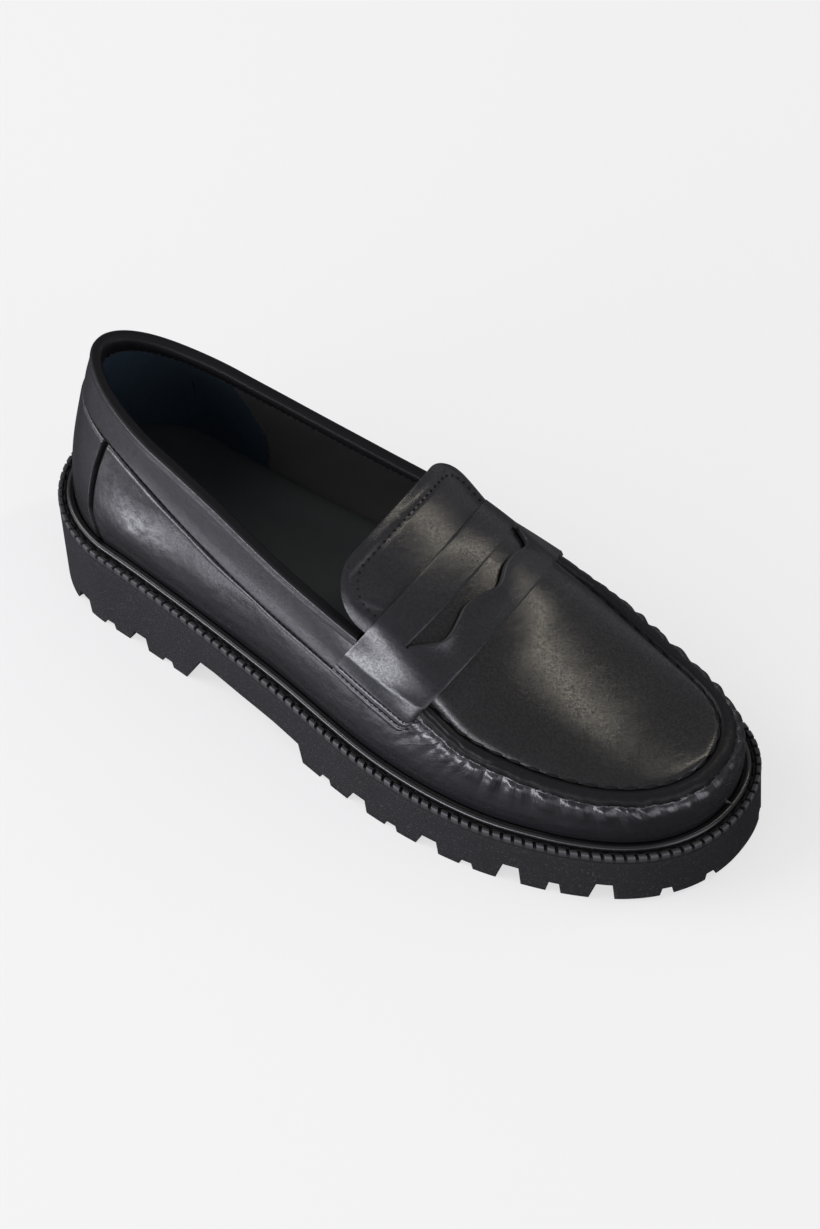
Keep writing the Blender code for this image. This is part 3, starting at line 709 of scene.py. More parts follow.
def makeWall():
    more, middle, wide = wallLook["heelColumns"]
    turns = crowdTurns(
        wallLook["columns"], lambda side, turn: more * hump(side - middle, wide),
        lambda side, turn: np.where(turn < 1, *wallLook["lipColumns"]) * fade(*wallLook["lipFrom"], side))
    t, r = np.broadcast_arrays(turns[:, None], wallRises(turns))
    outer = wallPoint(t, r)
    steps = np.linalg.norm(np.diff(outer, axis=1), axis=-1)[:, ::-1]
    fromTop = np.concatenate((np.cumsum(steps, axis=1)[:, ::-1], np.zeros((len(turns), 1))), axis=1)
    along = wallPoint(t + 1e-3, r) - wallPoint(t - 1e-3, r)
    along = along / np.linalg.norm(along, axis=-1, keepdims=True)
    relief, finish = wallRelief(t, r, outer, fromTop, along)
    relief = relief * fade(0.0, 0.05, r)
    pleat, gathered = pleatMarks(t, outer, fromTop)
    polish = np.zeros(outer.shape[:2])
    for place, up, radius, share in buffs:
        polish += share * hump(np.linalg.norm(outer - wallPoint(place, up), axis=-1), radius)
    outer = outer + wallNormal(t, r) * relief[..., None]
    down = np.linspace(1, 0, wallLook["backRows"] + 1)[None, :]
    every = shellRows(outer, wallPoint(turns[:, None], down, last["wall"] * 0.7))
    bm = bmesh.new()
    marks = {"buffed": np.minimum(polish, 1.0), "pleat": pleat, "gathered": gathered}
    for name in marks:
        bm.verts.layers.float.new(name)
    places = gridSheet(bm, len(turns) - 1, every.shape[1] - 1, lambda c, k: every[c, k])
    for name, values in marks.items():
        layer = bm.verts.layers.float[name]
        for v, (c, k) in places.items():
            v[layer] = values[c, min(max(k - 1, 0), wallLook["rows"])]
    for face in bm.faces:
        c, k = cornerOf(face, places)
        face.material_index = int(finish[c, k - 1]) if 1 <= k <= wallLook["rows"] else 0
    closeSeams(bm)
    addPiece("vamp_and_quarters", bm, [calf, seamShade, lipCalf], "upper_leather", "upper", sharp=75)


makeWall()
print("vamp and quarters ready")


# Lining, with the heel grip's edge standing out inside
liningLook = {
    "columns": 640, "rows": 40, "backRows": 4, "gripColumns": (6.0, 0.28, 0.04),
    "gripThick": 0.0007, "gripStep": 0.0005, "wave": 0.0003,
    "gripZ": (0.030, 0.043, 0.053, 0.062, 0.080, 0.090),
    "gripX": (0.0600, 0.0605, 0.0603, 0.0570, 0.0533, 0.0520),
}


def makeLining():
    more, middle, wide = liningLook["gripColumns"]
    turns = crowdTurns(liningLook["columns"], lambda side, turn: more * hump(side - middle, wide))
    t, r = turns[:, None], np.linspace(0, 1, liningLook["rows"] + 1)[None, :]
    skin = wallPoint(t, r, last["wall"])
    gripEdge = np.interp(skin[..., 2], liningLook["gripZ"], liningLook["gripX"])
    grip = fade(-liningLook["gripStep"], liningLook["gripStep"], gripEdge - skin[..., 0])
    wave = liningLook["wave"] * wobble(t * 0.5 + r * 0.06, 4.0)
    skin = skin - wallNormal(t, r, last["wall"]) * (liningLook["gripThick"] * grip + wave)[..., None]
    down = np.linspace(1, 0, liningLook["backRows"] + 1)[None, :]
    every = shellRows(skin, wallPoint(t, down, last["wall"] * 0.75))
    bm = bmesh.new()
    places = gridSheet(bm, len(turns) - 1, every.shape[1] - 1, lambda c, k: every[c, k])
    for face in bm.faces:
        c, k = cornerOf(face, places)
        face.material_index = int(1 <= k <= liningLook["rows"] and grip[c, k - 1] > 0.5)
    bmesh.ops.reverse_faces(bm, faces=bm.faces)
    closeSeams(bm)
    addPiece("quarter_lining", bm, [liningCalf, gripSuede], "upper_leather", "upper", sharp=70)


makeLining()
print("lining ready")


# Apron: the plug sewn inside the lip
apronLook = {"columns": 120, "rows": 110, "edgeDrop": 0.0003, "edgeRound": 0.0009, "thick": 0.0016}


def edgeDistance(points):
    # from each point to the apron's seam, seen from above
    t = np.linspace(0.4, 1.6, 1800)
    x, y, _ = topEdge(t)
    line = np.stack((x, y), axis=-1)
    best = np.full(len(points), 1.0)
    for part in np.array_split(np.arange(len(line)), 40):
        gap = np.linalg.norm(points[:, None, :2] - line[None, part], axis=-1).min(axis=1)
        best = np.minimum(best, gap)
    return best


def makeApron():
    rows, columns = apronLook["rows"], apronLook["columns"]
    start, end = last["throat"], last["topFront"]
    s = np.linspace(0, 1, columns + 1)
    xs = start + (end - start) * np.sin(s * np.pi / 2)
    acrosses = np.sin(np.linspace(-0.5, 0.5, rows + 1) * np.pi)

    def place(c, k):
        point = plugPoint(xs[c], acrosses[k])
        gap = edgeDistance(point)
        point[:, 2] -= apronLook["edgeDrop"] * np.exp(-(gap / apronLook["edgeRound"]) ** 1.2)
        return point

    bm = bmesh.new()
    gridSheet(bm, columns, rows, place)
    closeSeams(bm)
    apron = addPiece("apron", bm, [apronCalf], "upper_leather", "upper", sharp=60)
    thicken(apron, apronLook["thick"])


makeApron()
print("apron ready")


# Collar roll: folded leather from the collar seam up over the top edge, ending at the strap
rollLook = {
    "steps": 460, "reach": 0.1140, "outer": 0.0010, "inner": 0.0016, "tall": 0.0028,
    "innerRise": 0.90, "square": 3.0, "legSteps": 8, "rollSteps": 21, "innerSteps": 6,
    "shadeRows": 3, "topFrom": 21,    # rows of painted shade in the seam, first row of the top
    "legAt": (-0.0008, 0.0000, 0.0002, 0.0004, 0.0006, 0.0010, 0.0018, 0.0035, 0.0060),    # up from the seam
    "legOut": (-0.0006, -0.0005, -0.0003, 0.0001, 0.0003, 0.0004, 0.0005, 0.0006, 0.0008),   # off the wall
}


def bandLine(share):
    # turn and rise along the collar seam, share 1 at the outer strap end to -1 at the inner
    band = np.full(share.shape, 0.7)
    for _ in range(6):
        turn = share * turnOnPlane(rollLook["reach"] + 0 * share, band)
        band = bandAt(turn)
    return turn, band


def makeRoll():
    # the section runs up the outer leg, over the roll and down inside, then back along the wall
    shares = np.linspace(1, -1, rollLook["steps"] + 1)
    _, band = bandLine(shares)
    span = last["wall"] + rollLook["outer"] + rollLook["inner"]

    def at(rise, depth, lift=0.0):
        turn = shares * turnOnPlane(rollLook["reach"] + 0 * shares, np.clip(rise, 0, 1), depth)
        return wallPoint(turn % 2.0, rise, depth) + np.array((0, 0, 1.0)) * lift

    leg = np.linalg.norm(at(1.0 + 0 * band, 0.0) - at(band, 0.0), axis=-1)
    section = []
    for up, out in zip(rollLook["legAt"], rollLook["legOut"]):
        section.append(at(band + (1 - band) * up / leg, -out))
    low = rollLook["legAt"][-1] / leg
    for share in np.linspace(0, 1, rollLook["legSteps"] + 1)[1:]:
        out = rollLook["legOut"][-1] + (rollLook["outer"] - rollLook["legOut"][-1]) * share
        section.append(at(band + (1 - band) * (low + (1 - low) * share), -out))
    for angle in np.linspace(0, np.pi, rollLook["rollSteps"] + 1)[1:-1]:
        c, s = math.cos(angle), math.sin(angle)
        power = 2 / rollLook["square"]
        across = math.copysign(abs(c) ** power, c)
        depth = (last["wall"] + rollLook["inner"] - rollLook["outer"]) / 2 - across * span / 2
        section.append(at(1.0 + 0 * band, depth, rollLook["tall"] * s**power))
    for share in np.linspace(1, 0, rollLook["innerSteps"] + 1):
        rise = rollLook["innerRise"] + (1 - rollLook["innerRise"]) * share
        thick = rollLook["inner"] * (0.55 + 0.45 * fade(0, 0.3, share))
        section.append(at(rise + 0 * band, last["wall"] + thick))
    section.append(at(rollLook["innerRise"] + 0 * band, last["wall"]))
    section.append(at(1.0 + 0 * band, last["wall"] * 0.5, 0.0003))
    section.append(section[0])
    every = np.stack(section, axis=1)
    bm = bmesh.new()
    places = gridSheet(bm, rollLook["steps"], every.shape[1] - 1, lambda c, k: every[c, k])
    for face in bm.faces:
        _, k = cornerOf(face, places)
        # painted shade on the lowest rows, in the seam under the quarter's fold
        face.material_index = 2 if k < rollLook["shadeRows"] else int(k >= rollLook["topFrom"])
    closeSeams(bm)
    ends = [e for e in bm.edges if e.is_boundary]
    bmesh.ops.holes_fill(bm, edges=ends, sides=0)
    bmesh.ops.recalc_face_normals(bm, faces=bm.faces)
    skins = [rollCalf, rollTop, seamShade]
    addPiece("collar_roll", bm, skins, "binding_leather", "collar_binding", sharp=60)


makeRoll()
print("collar roll ready")


# Saddle strap with the penny slot
saddleLook = {
    "rear": 0.1138, "front": last["strapFront"], "thick": 0.0016, "gap": 0.0004,
    "slotRear": 0.1270, "endRise": (0.615, 0.505), "sideLong": 0.0145, "corner": 0.0030,
    "rows": (14, 8, 14), "edgeRound": 0.00045,
    "rowsIn": (0.0019, 0.0042), "rowDip": 0.00040, "rowWide": 0.00050,
    "edgePlump": 0.00032, "plumpWide": 0.0008, "fineLong": 0.0055, "fineStep": 0.00024,
    "slotBow": 0.0012, "slotCurl": 0.0010, "curlLong": 0.0040, "curlEnd": (0.60, 0.86),
    "endWander": 0.004, "bridge": (1.02, 0.16, 60),    # where it bridges, how wide, how often it is eased
    # the outer end lies flat up to a bend, rear and front, and is rubbed just above it
    "bendAt": (0.0115, 0.0130), "flatTilt": 0.13, "flatSink": 0.0004, "bendLong": 0.014,
    "buffStart": (-0.0008, 0.0012), "buffLong": 0.0075,
}
slotRows = {   # how far the slot opens towards the toe, from its outer tip to its inner one
    "at": (-0.82, -0.78, -0.72, -0.62, -0.50, -0.38, -0.23, -0.03, 0.12, 0.20, 0.38, 0.54,
           0.64, 0.72, 0.78, 0.82, 0.845, 0.86),
    "opening": (0.0006, 0.0024, 0.0048, 0.0080, 0.0082, 0.0070, 0.0054, 0.0066, 0.0092, 0.0090, 0.0064,
                0.0062, 0.0072, 0.0080, 0.0076, 0.0060, 0.0036, 0.0010),
}


def saddleCut(reach):
    # what the rounded front corner takes off the end
    corner = saddleLook["corner"]
    return (1 - rounding(saddleLook["front"] - reach, corner, 2.0)) * corner


def saddleAcross(reach, beyond):
    # beyond runs 0 at the top line to 1 at the strap's end, round its front corner
    share = (reach - saddleLook["rear"]) / (saddleLook["front"] - saddleLook["rear"])
    endRise = saddleLook["endRise"][0] + (saddleLook["endRise"][1] - saddleLook["endRise"][0]) * share
    cut = saddleCut(reach) / saddleLook["sideLong"]
    wavy = saddleLook["endWander"] * wobble(reach * 11, 0.7)
    return 1 + beyond * (1 - endRise) * (1 - cut + wavy)


def saddleGrid():
    # columns run across the foot, rows from the rear edge to the front, both following the slot
    left, right = slotRows["at"][0], slotRows["at"][-1]
    side = saddleLook["sideLong"]
    fine = np.arange(0, saddleLook["fineLong"], saddleLook["fineStep"])    # close columns at the sewn end
    fromEnd = np.concatenate((fine, np.linspace(0.0060, side, 12)))
    beyond = 1 - fromEnd / side
    columns = np.concatenate((
        -1 - 0.5 * beyond[:-1],
        -1 + (left + 1) * np.linspace(0, 1, 16)[:-1] ** 1.5,
        left + (right - left) * (1 - np.cos(np.linspace(0, np.pi, 111))) / 2,
        1 + (right - 1) * np.linspace(1, 0, 12)[1:] ** 1.5,
        1 + 0.5 * beyond[::-1][1:]))
    rearRows, slotSteps, frontRows = saddleLook["rows"]
    rowAt = np.arange(rearRows + slotSteps + frontRows + 1)
    across, rowAt = np.meshgrid(columns, rowAt, indexing="ij")
    past = np.clip(np.maximum(left - across, across - right), 0, 0.3)
    opening = ease(slotRows, "opening", across) + past * 0.03
    rear, front, slotRear = saddleLook["rear"], saddleLook["front"], saddleLook["slotRear"]
    slotRear = slotRear + saddleLook["slotBow"] * (1 - np.clip(np.abs(across), 0, 1) ** 2)
    reach = np.where(
        rowAt <= rearRows, rear + (slotRear - rear) * rowAt / rearRows,
        np.where(rowAt <= rearRows + slotSteps, slotRear + opening * (rowAt - rearRows) / slotSteps,
                 front - (front - slotRear - opening) * (rowAt[..., ::-1] / frontRows)))
    ahead = np.clip(reach - slotRear - opening, 0.0, 1.0)
    curl = np.where(rowAt >= rearRows + slotSteps, np.exp(-ahead / saddleLook["curlLong"]), 0.0)
    curl = saddleLook["slotCurl"] * curl * (1 - fade(*saddleLook["curlEnd"], np.abs(across)))
    beyond = np.clip((np.abs(across) - 1) / 0.5, 0, 1)
    across = np.where(np.abs(across) > 1, np.sign(across) * saddleAcross(reach, beyond), across)
    points = instepPoint(reach, across)
    # the strap is stiff, so it bridges the hollow where the instep meets the sides
    middle, wide, times = saddleLook["bridge"]
    easy = (hump(np.abs(columns) - middle, wide) * 0.5)[1:-1, None, None]
    for _ in range(times):
        points[1:-1] += easy * ((points[:-2] + points[2:]) / 2 - points[1:-1])
    first, final = (int(np.argmin(np.abs(columns - end))) for end in (left, right))
    return points, curl, (1 - beyond) * side, first, final


def saddleBend(reach):
    # how far the bend lies from the outer end
    along = np.interp(reach, (saddleLook["rear"], saddleLook["front"]), saddleLook["bendAt"])
    return along - saddleCut(reach)


def saddleTilt(fromEnd, bend):
    # the sewn end lies flat and close below the bend, which stands out
    flat = saddleLook["flatTilt"] * np.minimum(fromEnd, bend) - saddleLook["flatSink"]
    return flat * np.clip(1 - np.maximum(fromEnd - bend, 0) / saddleLook["bendLong"], 0, 1) ** 2


def makeSaddle():
    points, curl, fromEnd, first, final = saddleGrid()
    rearRows, slotSteps, _ = saddleLook["rows"]
    dips = sum(hump(fromEnd - row, saddleLook["rowWide"]) for row in saddleLook["rowsIn"])
    plump = hump(fromEnd - saddleLook["plumpWide"], saddleLook["plumpWide"])
    relief = curl + saddleLook["edgePlump"] * plump - saddleLook["rowDip"] * dips
    steps = np.linalg.norm(np.diff(points, axis=0), axis=-1)
    fromOuter = np.concatenate((np.zeros((1, points.shape[1])), np.cumsum(steps, axis=0)))
    bend = saddleBend(reachOf(points))
    relief = relief + saddleTilt(fromOuter, bend)
    above = fromOuter - bend
    rubbed = fade(*saddleLook["buffStart"], above) * np.exp(-np.clip(above, 0, 1) / saddleLook["buffLong"])
    bm = bmesh.new()
    buffed = bm.verts.layers.float.new("buffed")
    places = gridSheet(bm, points.shape[0] - 1, points.shape[1] - 1, lambda c, k: points[c, k])
    bmesh.ops.reverse_faces(bm, faces=bm.faces)
    bm.normal_update()
    for v in bm.verts:
        v.co += v.normal * (saddleLook["gap"] + saddleLook["thick"] + relief[places[v]])
        v[buffed] = rubbed[places[v]]
    hole = []
    for face in bm.faces:
        c, k = cornerOf(face, places)
        if first <= c < final and rearRows <= k < rearRows + slotSteps:
            hole.append(face)
    bmesh.ops.delete(bm, geom=hole, context="FACES")
    skins = [saddleCalf, cutEdgeHighlight]
    saddle = addPiece("saddle_strap_leather", bm, skins, "strap_leather", "saddle_strap", sharp=50)
    thicken(saddle, saddleLook["thick"], saddleLook["edgeRound"])


makeSaddle()
print("saddle strap ready")


# Tongue
tongueLook = {
    "rear": 0.0926, "long": 0.0200, "thick": 0.0018, "across": (0.955, 0.965), "corner": (0.0130, 0.0105),
    "lift": 0.0020, "flatten": (0.0020, 0.0037), "raise": (0.0022, 0.0034), "underStrap": 0.0030,
    "columns": 90, "rows": 110, "edgeRound": 0.0005, "rowIn": 0.0042, "rowDip": 0.00025, "rowWide": 0.0008,
    "plump": 0.0002, "plumpAt": 0.0022, "plumpWide": 0.0015, "gap": 0.0003,
}

# Short creases where the strap holds the tongue down: share, across, length, width, depth
tongueCreases = (
    (0.20, -0.76, 0.0050, 0.0008, 0.00035), (0.26, -0.70, 0.0055, 0.0007, 0.00030),
    (0.16, -0.66, 0.0045, 0.0008, 0.00030), (0.30, -0.80, 0.0040, 0.0008, 0.00030),
    (0.22, -0.60, 0.0040, 0.0007, 0.00020),
)


def tongueSkin(share, across):
    # share 0 under the strap to 1 at the rear edge
    share, across = np.broadcast_arrays(np.asarray(share, float), np.asarray(across, float))
    front = last["throat"] + tongueLook["underStrap"]
    start = np.full(across.shape, 0.08)
    rear = solve(lambda at: reachOf(plugPoint(at, across)) - tongueLook["rear"], start, start + 0.1)
    point = plugPoint(front + (rear - front) * share, across)
    half = ease(topRows, "half", last["throat"])
    for s, a, long, wide, deep in tongueCreases:
        down, over = (share - s) * tongueLook["long"], (across - a) * half
        point[..., 2] -= deep * hump(over + 0.35 * down, wide) * hump(down, long)
    point[..., 2] += tongueLook["gap"] + tongueLook["lift"] * share**2
    # the flap lies flatter than the instep, so its sides stand out and up
    flat = np.abs(across) ** 2.5 * fade(0.0, 0.85, share)
    point[..., 1] += np.sign(across) * np.where(across < 0, *tongueLook["flatten"]) * flat
    point[..., 2] += np.where(across < 0, *tongueLook["raise"]) * flat
    return point


def tongueEdge(share, side, inset=0.0):
    # how far across the flap reaches, less round its rear corners
    half = ease(topRows, "half", last["throat"])
    wide = np.where(side < 0, *tongueLook["across"]) - inset / half
    corner = np.where(side < 0, *tongueLook["corner"])
    corner = np.maximum(corner - inset, 0.0015)
    rest = (1 - share) * tongueLook["long"] - inset
    return side * (wide - corner * (1 - rounding(rest, corner, 2.0)) / half)


def makeTongue():
    rows, columns = tongueLook["rows"], tongueLook["columns"]
    shares = np.sin(np.linspace(0, 1, columns + 1) * np.pi / 2)
    sides = np.sin(np.linspace(-0.5, 0.5, rows + 1) * np.pi)
    half = ease(topRows, "half", last["throat"])

    def place(c, k):
        share, side = shares[c], sides[k]
        across = side * np.abs(tongueEdge(share, np.sign(side)))
        point = tongueSkin(share, across)
        edge = (np.abs(tongueEdge(share, np.sign(side))) - np.abs(across)) * half
        inward = np.minimum(edge, (1 - share) * tongueLook["long"])
        point[..., 2] -= tongueLook["rowDip"] * hump(inward - tongueLook["rowIn"], tongueLook["rowWide"])
        point[..., 2] += tongueLook["plump"] * hump(inward - tongueLook["plumpAt"], tongueLook["plumpWide"])
        return point

    bm = bmesh.new()
    gridSheet(bm, columns, rows, place)
    closeSeams(bm)
    bmesh.ops.recalc_face_normals(bm, faces=bm.faces)
    if sum(f.normal.z for f in bm.faces) < 0:
        bmesh.ops.reverse_faces(bm, faces=bm.faces)
    skins = [saddleCalf, cutEdgeHighlight]
    tongue = addPiece("tongue_leather_flap", bm, skins, "tongue_leather", "tongue", sharp=50)
    thicken(tongue, tongueLook["thick"], tongueLook["edgeRound"])


makeTongue()
print("tongue ready")


# Welt: toothed strip, thread in its channel, glossy bead against the upper
weltLook = {
    "teeth": 168, "toothAt": (0.0, 0.150, 0.180, 0.50, 0.820, 0.850),    # columns over one pitch
    "toothCut": (1.0, 1.0, 0.0, 0.0, 0.0, 1.0), "notchDeep": 0.0014,
    "beadIn": 0.0044, "beadWide": 0.0015, "beadTall": 0.0015, "beadSteps": 640,
    "beadSink": 0.0002, "beadGroove": 0.16, "beadGrooveAt": 1.9, "beadGrooveWide": 0.28,    # angles round it
}
stripSection = {   # distance in from the edge, height above the rim, share of the notch, share of painted highlight
    "inward": (0.0000, 0.0000, 0.0003, 0.0009, 0.0014, 0.0016, 0.0018, 0.0030, 0.0032, 0.0034, 0.0056),
    "height": (-0.0032, -0.0004, 0.0000, 0.0001, 0.0000, -0.0004, -0.0015, -0.0015, -0.0008, -0.0006,
               -0.0032),
    "tooth": (0.0, 0.75, 1.0, 1.0, 1.0, 0.7, 0.0, 0.0, 0.0, 0.0, 0.0),
    "toothHighlightRows": (0.0, 0.9, 1.0, 0.35, 0.7, 0.2, 0.0, 0.0, 0.0, 0.0, 0.0),
}


def ringPlace(turn, inward, height):
    x, y = soleEdge(turn, inward)
    return np.stack((x, y, ease(soleRows, "rim", x) + height), axis=-1)


def evenTurns(count, inset=0.0):
    # turns that divide the edge into equal lengths
    dense = np.linspace(0, 2, 6001)
    x, y = soleEdge(dense, inset)
    length = lineLength(np.stack((x, y), axis=-1))
    return np.interp(np.linspace(0, length[-1], count + 1), length, dense)


def makeWelt():
    per = len(weltLook["toothAt"])
    count = weltLook["teeth"] * per
    pitchTurns = evenTurns(weltLook["teeth"])
    column = np.arange(count + 1)
    at = column // per + np.array(weltLook["toothAt"])[column % per]
    turns = np.interp(at, np.arange(weltLook["teeth"] + 1), pitchTurns)
    cut = np.array(weltLook["toothCut"])[column % per]
    inward, height, tooth, toothHighlightRows = (np.array(stripSection[k] + stripSection[k][:1]) for k in stripSection)

    bm = bmesh.new()
    # painted highlight on the tooth tops, none in the notches
    wear = bm.verts.layers.float.new("wear")
    places = gridSheet(bm, count, len(inward) - 1, lambda c, k: ringPlace(
        turns[c], inward[k], height[k] - cut[c] * tooth[k] * weltLook["notchDeep"]))
    for v, (c, k) in places.items():
        v[wear] = toothHighlightRows[k] * (1 - cut[c])
    closeSeams(bm)
    bmesh.ops.recalc_face_normals(bm, faces=bm.faces)
    addPiece("welt_strip", bm, [stripRubber], "welt_rubber", "welt", sharp=35)

    turns = evenTurns(weltLook["beadSteps"], weltLook["beadIn"])
    angles = np.linspace(0, 2 * np.pi, 25)
    size = 1 - weltLook["beadGroove"] * hump(angles - weltLook["beadGrooveAt"], weltLook["beadGrooveWide"])
    bm = bmesh.new()
    gridSheet(bm, weltLook["beadSteps"], len(angles) - 1, lambda c, k: ringPlace(
        turns[c], weltLook["beadIn"] - weltLook["beadWide"] * size[k] * np.cos(angles[k]),
        weltLook["beadTall"] * size[k] * np.sin(angles[k]) - weltLook["beadSink"]))
    closeSeams(bm)
    bmesh.ops.recalc_face_normals(bm, faces=bm.faces)
    addPiece("welt_bead", bm, [beadRubber], "welt_rubber", "welt", sharp=80)


makeWelt()
print("welt ready")


# Outsole: smooth sides, heel roll, waist, toe spring and edge notches
soleLook = {
    "turns": 480, "flatRows": 6, "sideRows": 8, "below": 0.004, "edgeRound": 0.0006, "sharp": 28,
    "heelRoll": (0.018, 0.0080), "toeSpring": (0.212, 0.0024),    # from where, how high at the end
    # notches: width, depth, how far in, slope to the heel and to the toe
    "large": (0.0088, 0.0062, 0.0130, 0.0026, 0.0008), "small": (0.0052, 0.0028, 0.0080, 0.0012, 0.0006),
    "clear": 0.010, "clearSide": 0.080, "clearNotch": 0.003,    # how far the cutters stand out
}
waistRows = {
    "at": (0.0738, 0.0810, 0.0880, 0.1000, 0.1146, 0.1272, 0.1290),
    "height": (0.0000, 0.0146, 0.0142, 0.0124, 0.0109, 0.0091, 0.0000),
}
notchRows = (   # first place, pitch, sizes in turn
    (0.0250, 0.0135, ("large", "small", "large", "small")),
    (0.1398, 0.0146, ("small", "large") * 4),
    (0.2589, 0.0146, ("small",)),
)
toeNotchTurns = (0.935, 1.065)


def prism(bm, corners, step):
    face = bm.faces.new([bm.verts.new(corner) for corner in corners])
    pushed = bmesh.ops.extrude_face_region(bm, geom=[face])["geom"]
    bmesh.ops.translate(bm, vec=step, verts=[v for v in pushed if isinstance(v, bmesh.types.BMVert)])


def cutter(name, bm):
    bmesh.ops.recalc_face_normals(bm, faces=bm.faces)
    return objectFrom(name, bm)


def makeSole():
    turns = 2 * np.arange(soleLook["turns"] + 1) / soleLook["turns"]
    flat, side = soleLook["flatRows"], soleLook["sideRows"]
    acrosses, sides = np.linspace(0, 1, flat + 1), np.linspace(0, 1, side + 1)[1:]
    top = lambda x: ease(soleRows, "rim", x) - last["weltThick"] - last["gap"]

    def place(c, k):
        # out along the underside, up the side and back in along the top
        under, over = k <= flat, k > flat + side
        lift = np.where(under, 0.0, np.where(over, 1.0, sides[np.clip(k - flat - 1, 0, side - 1)]))
        inwards = 1 - acrosses[np.clip(k - flat - side, 0, flat)]
        spread = np.where(under, acrosses[np.clip(k, 0, flat)], np.where(over, inwards, 1.0))
        x, y = soleEdge(turns[c], -last["flare"] * (1 - lift))
        middle = ease(soleRows, "centre", x)
        z = -soleLook["below"] + (top(x) + soleLook["below"]) * lift
        return np.stack((x, middle + (y - middle) * spread, z), axis=-1)

    bm = bmesh.new()
    gridSheet(bm, soleLook["turns"], 2 * flat + side, place)
    closeSeams(bm)
    body = cutter("sole_body", bm)

    clear = soleLook["clear"]
    rear, front = -clear, last["length"] + clear
    long, tall = soleLook["heelRoll"]
    outline = [(rear, -clear), (rear, tall * (1 - rear / long) ** 2)]
    outline += [(x, tall * (1 - x / long) ** 2) for x in np.linspace(0, long, 13)]
    outline += list(zip(waistRows["at"], waistRows["height"]))
    start, spring = soleLook["toeSpring"]
    rise = lambda x: spring * ((x - start) / (last["length"] - start)) ** 2
    outline += [(x, rise(x)) for x in np.linspace(start, front, 10)]
    outline.append((front, -clear))
    wide = soleLook["clearSide"]
    bm = bmesh.new()
    prism(bm, [(x, -wide, z) for x, z in outline], (0.0, 2 * wide, 0.0))
    underside = cutter("underside", bm)

    places = []
    for first, pitch, sizes in notchRows:
        for i, size in enumerate(sizes):
            turn = math.acos(1 - 2 * (first + i * pitch) / last["length"]) / math.pi
            places += [(turn, size), (2 - turn, size)]
    places += [(turn, "small") for turn in toeNotchTurns]
    bm = bmesh.new()
    for turn, size in places:
        wide, deep, inward, heelSlope, toeSlope = soleLook[size]
        nx, ny = outward(turn)
        out = Vector((float(nx), float(ny), 0.0))
        toewards = Vector((0, 0, 1)).cross(out) * -float(sideOf(turn))
        x, y = soleEdge(turn, -last["flare"])
        edge = Vector((float(x), float(y), 0.0)) + out * soleLook["clearNotch"]
        lift = spring if x > start else 0.0
        profile = ((-wide / 2 - heelSlope / 2, -clear), (-wide / 2, 0.0), (-wide / 2 + heelSlope, deep),
                   (wide / 2 - toeSlope, deep), (wide / 2, 0.0), (wide / 2 + toeSlope / 2, -clear))
        prism(bm, [edge + toewards * s + Vector((0, 0, z + lift * (z > 0))) for s, z in profile],
              -out * (inward + soleLook["clearNotch"]))
    notches = cutter("notches", bm)

    for tool in (underside, notches):
        cut = body.modifiers.new(tool.name, "BOOLEAN")
        cut.operation, cut.solver, cut.object = "DIFFERENCE", "EXACT", tool
    cutBody = bpy.data.meshes.new_from_object(body.evaluated_get(bpy.context.evaluated_depsgraph_get()))
    bm = bmesh.new()
    bm.from_mesh(cutBody)
    for item in (body, underside, notches):
        bpy.data.objects.remove(item, do_unlink=True)
    bmesh.ops.remove_doubles(bm, verts=bm.verts, dist=1e-5)
    sharp = math.radians(soleLook["sharp"])
    corners = [e for e in bm.edges if len(e.link_faces) == 2 and e.calc_face_angle(0) > sharp]
    bmesh.ops.bevel(
        bm, geom=corners, offset=soleLook["edgeRound"], offset_type="OFFSET", segments=2, profile=0.5,
        affect="EDGES", clamp_overlap=True, material=-1)
    addPiece("tread_sole", bm, [soleRubber], "sole_rubber", "outsole", sharp=35)


makeSole()
print("outsole ready")


# Sock lining on the insole
sockLook = {
    "inset": 0.0082, "height": 0.0060, "thick": 0.0045, "columns": 120, "rows": 40,
    "dish": 0.0006, "edgeDrop": 0.0008, "edgeRound": 0.0012,
}


def makeSock():
    columns, rows = sockLook["columns"], sockLook["rows"]
    turns = np.linspace(0, 1, columns + 1)
    acrosses = np.sin(np.linspace(-0.5, 0.5, rows + 1) * np.pi)

    def place(c, k):
        x, y = soleEdge(turns[c], sockLook["inset"])
        middle = ease(soleRows, "centre", x)
        half = np.abs(y - middle)
        gap = half * (1 - np.abs(acrosses[k]))
        z = ease(soleRows, "rim", x) - last["weltThick"] + sockLook["height"]
        z = z + sockLook["dish"] * (acrosses[k] ** 2 - 1)
        z = z - sockLook["edgeDrop"] * np.exp(-gap / sockLook["edgeRound"])
        return np.stack((x, middle + half * acrosses[k], z), axis=-1)

    bm = bmesh.new()
    gridSheet(bm, columns, rows, place)
    closeSeams(bm)
    sock = addPiece("sock_lining", bm, [sockCalf], "insole_leather", "insole", sharp=50)
    thicken(sock, sockLook["thick"])


makeSock()
print("sock lining ready")


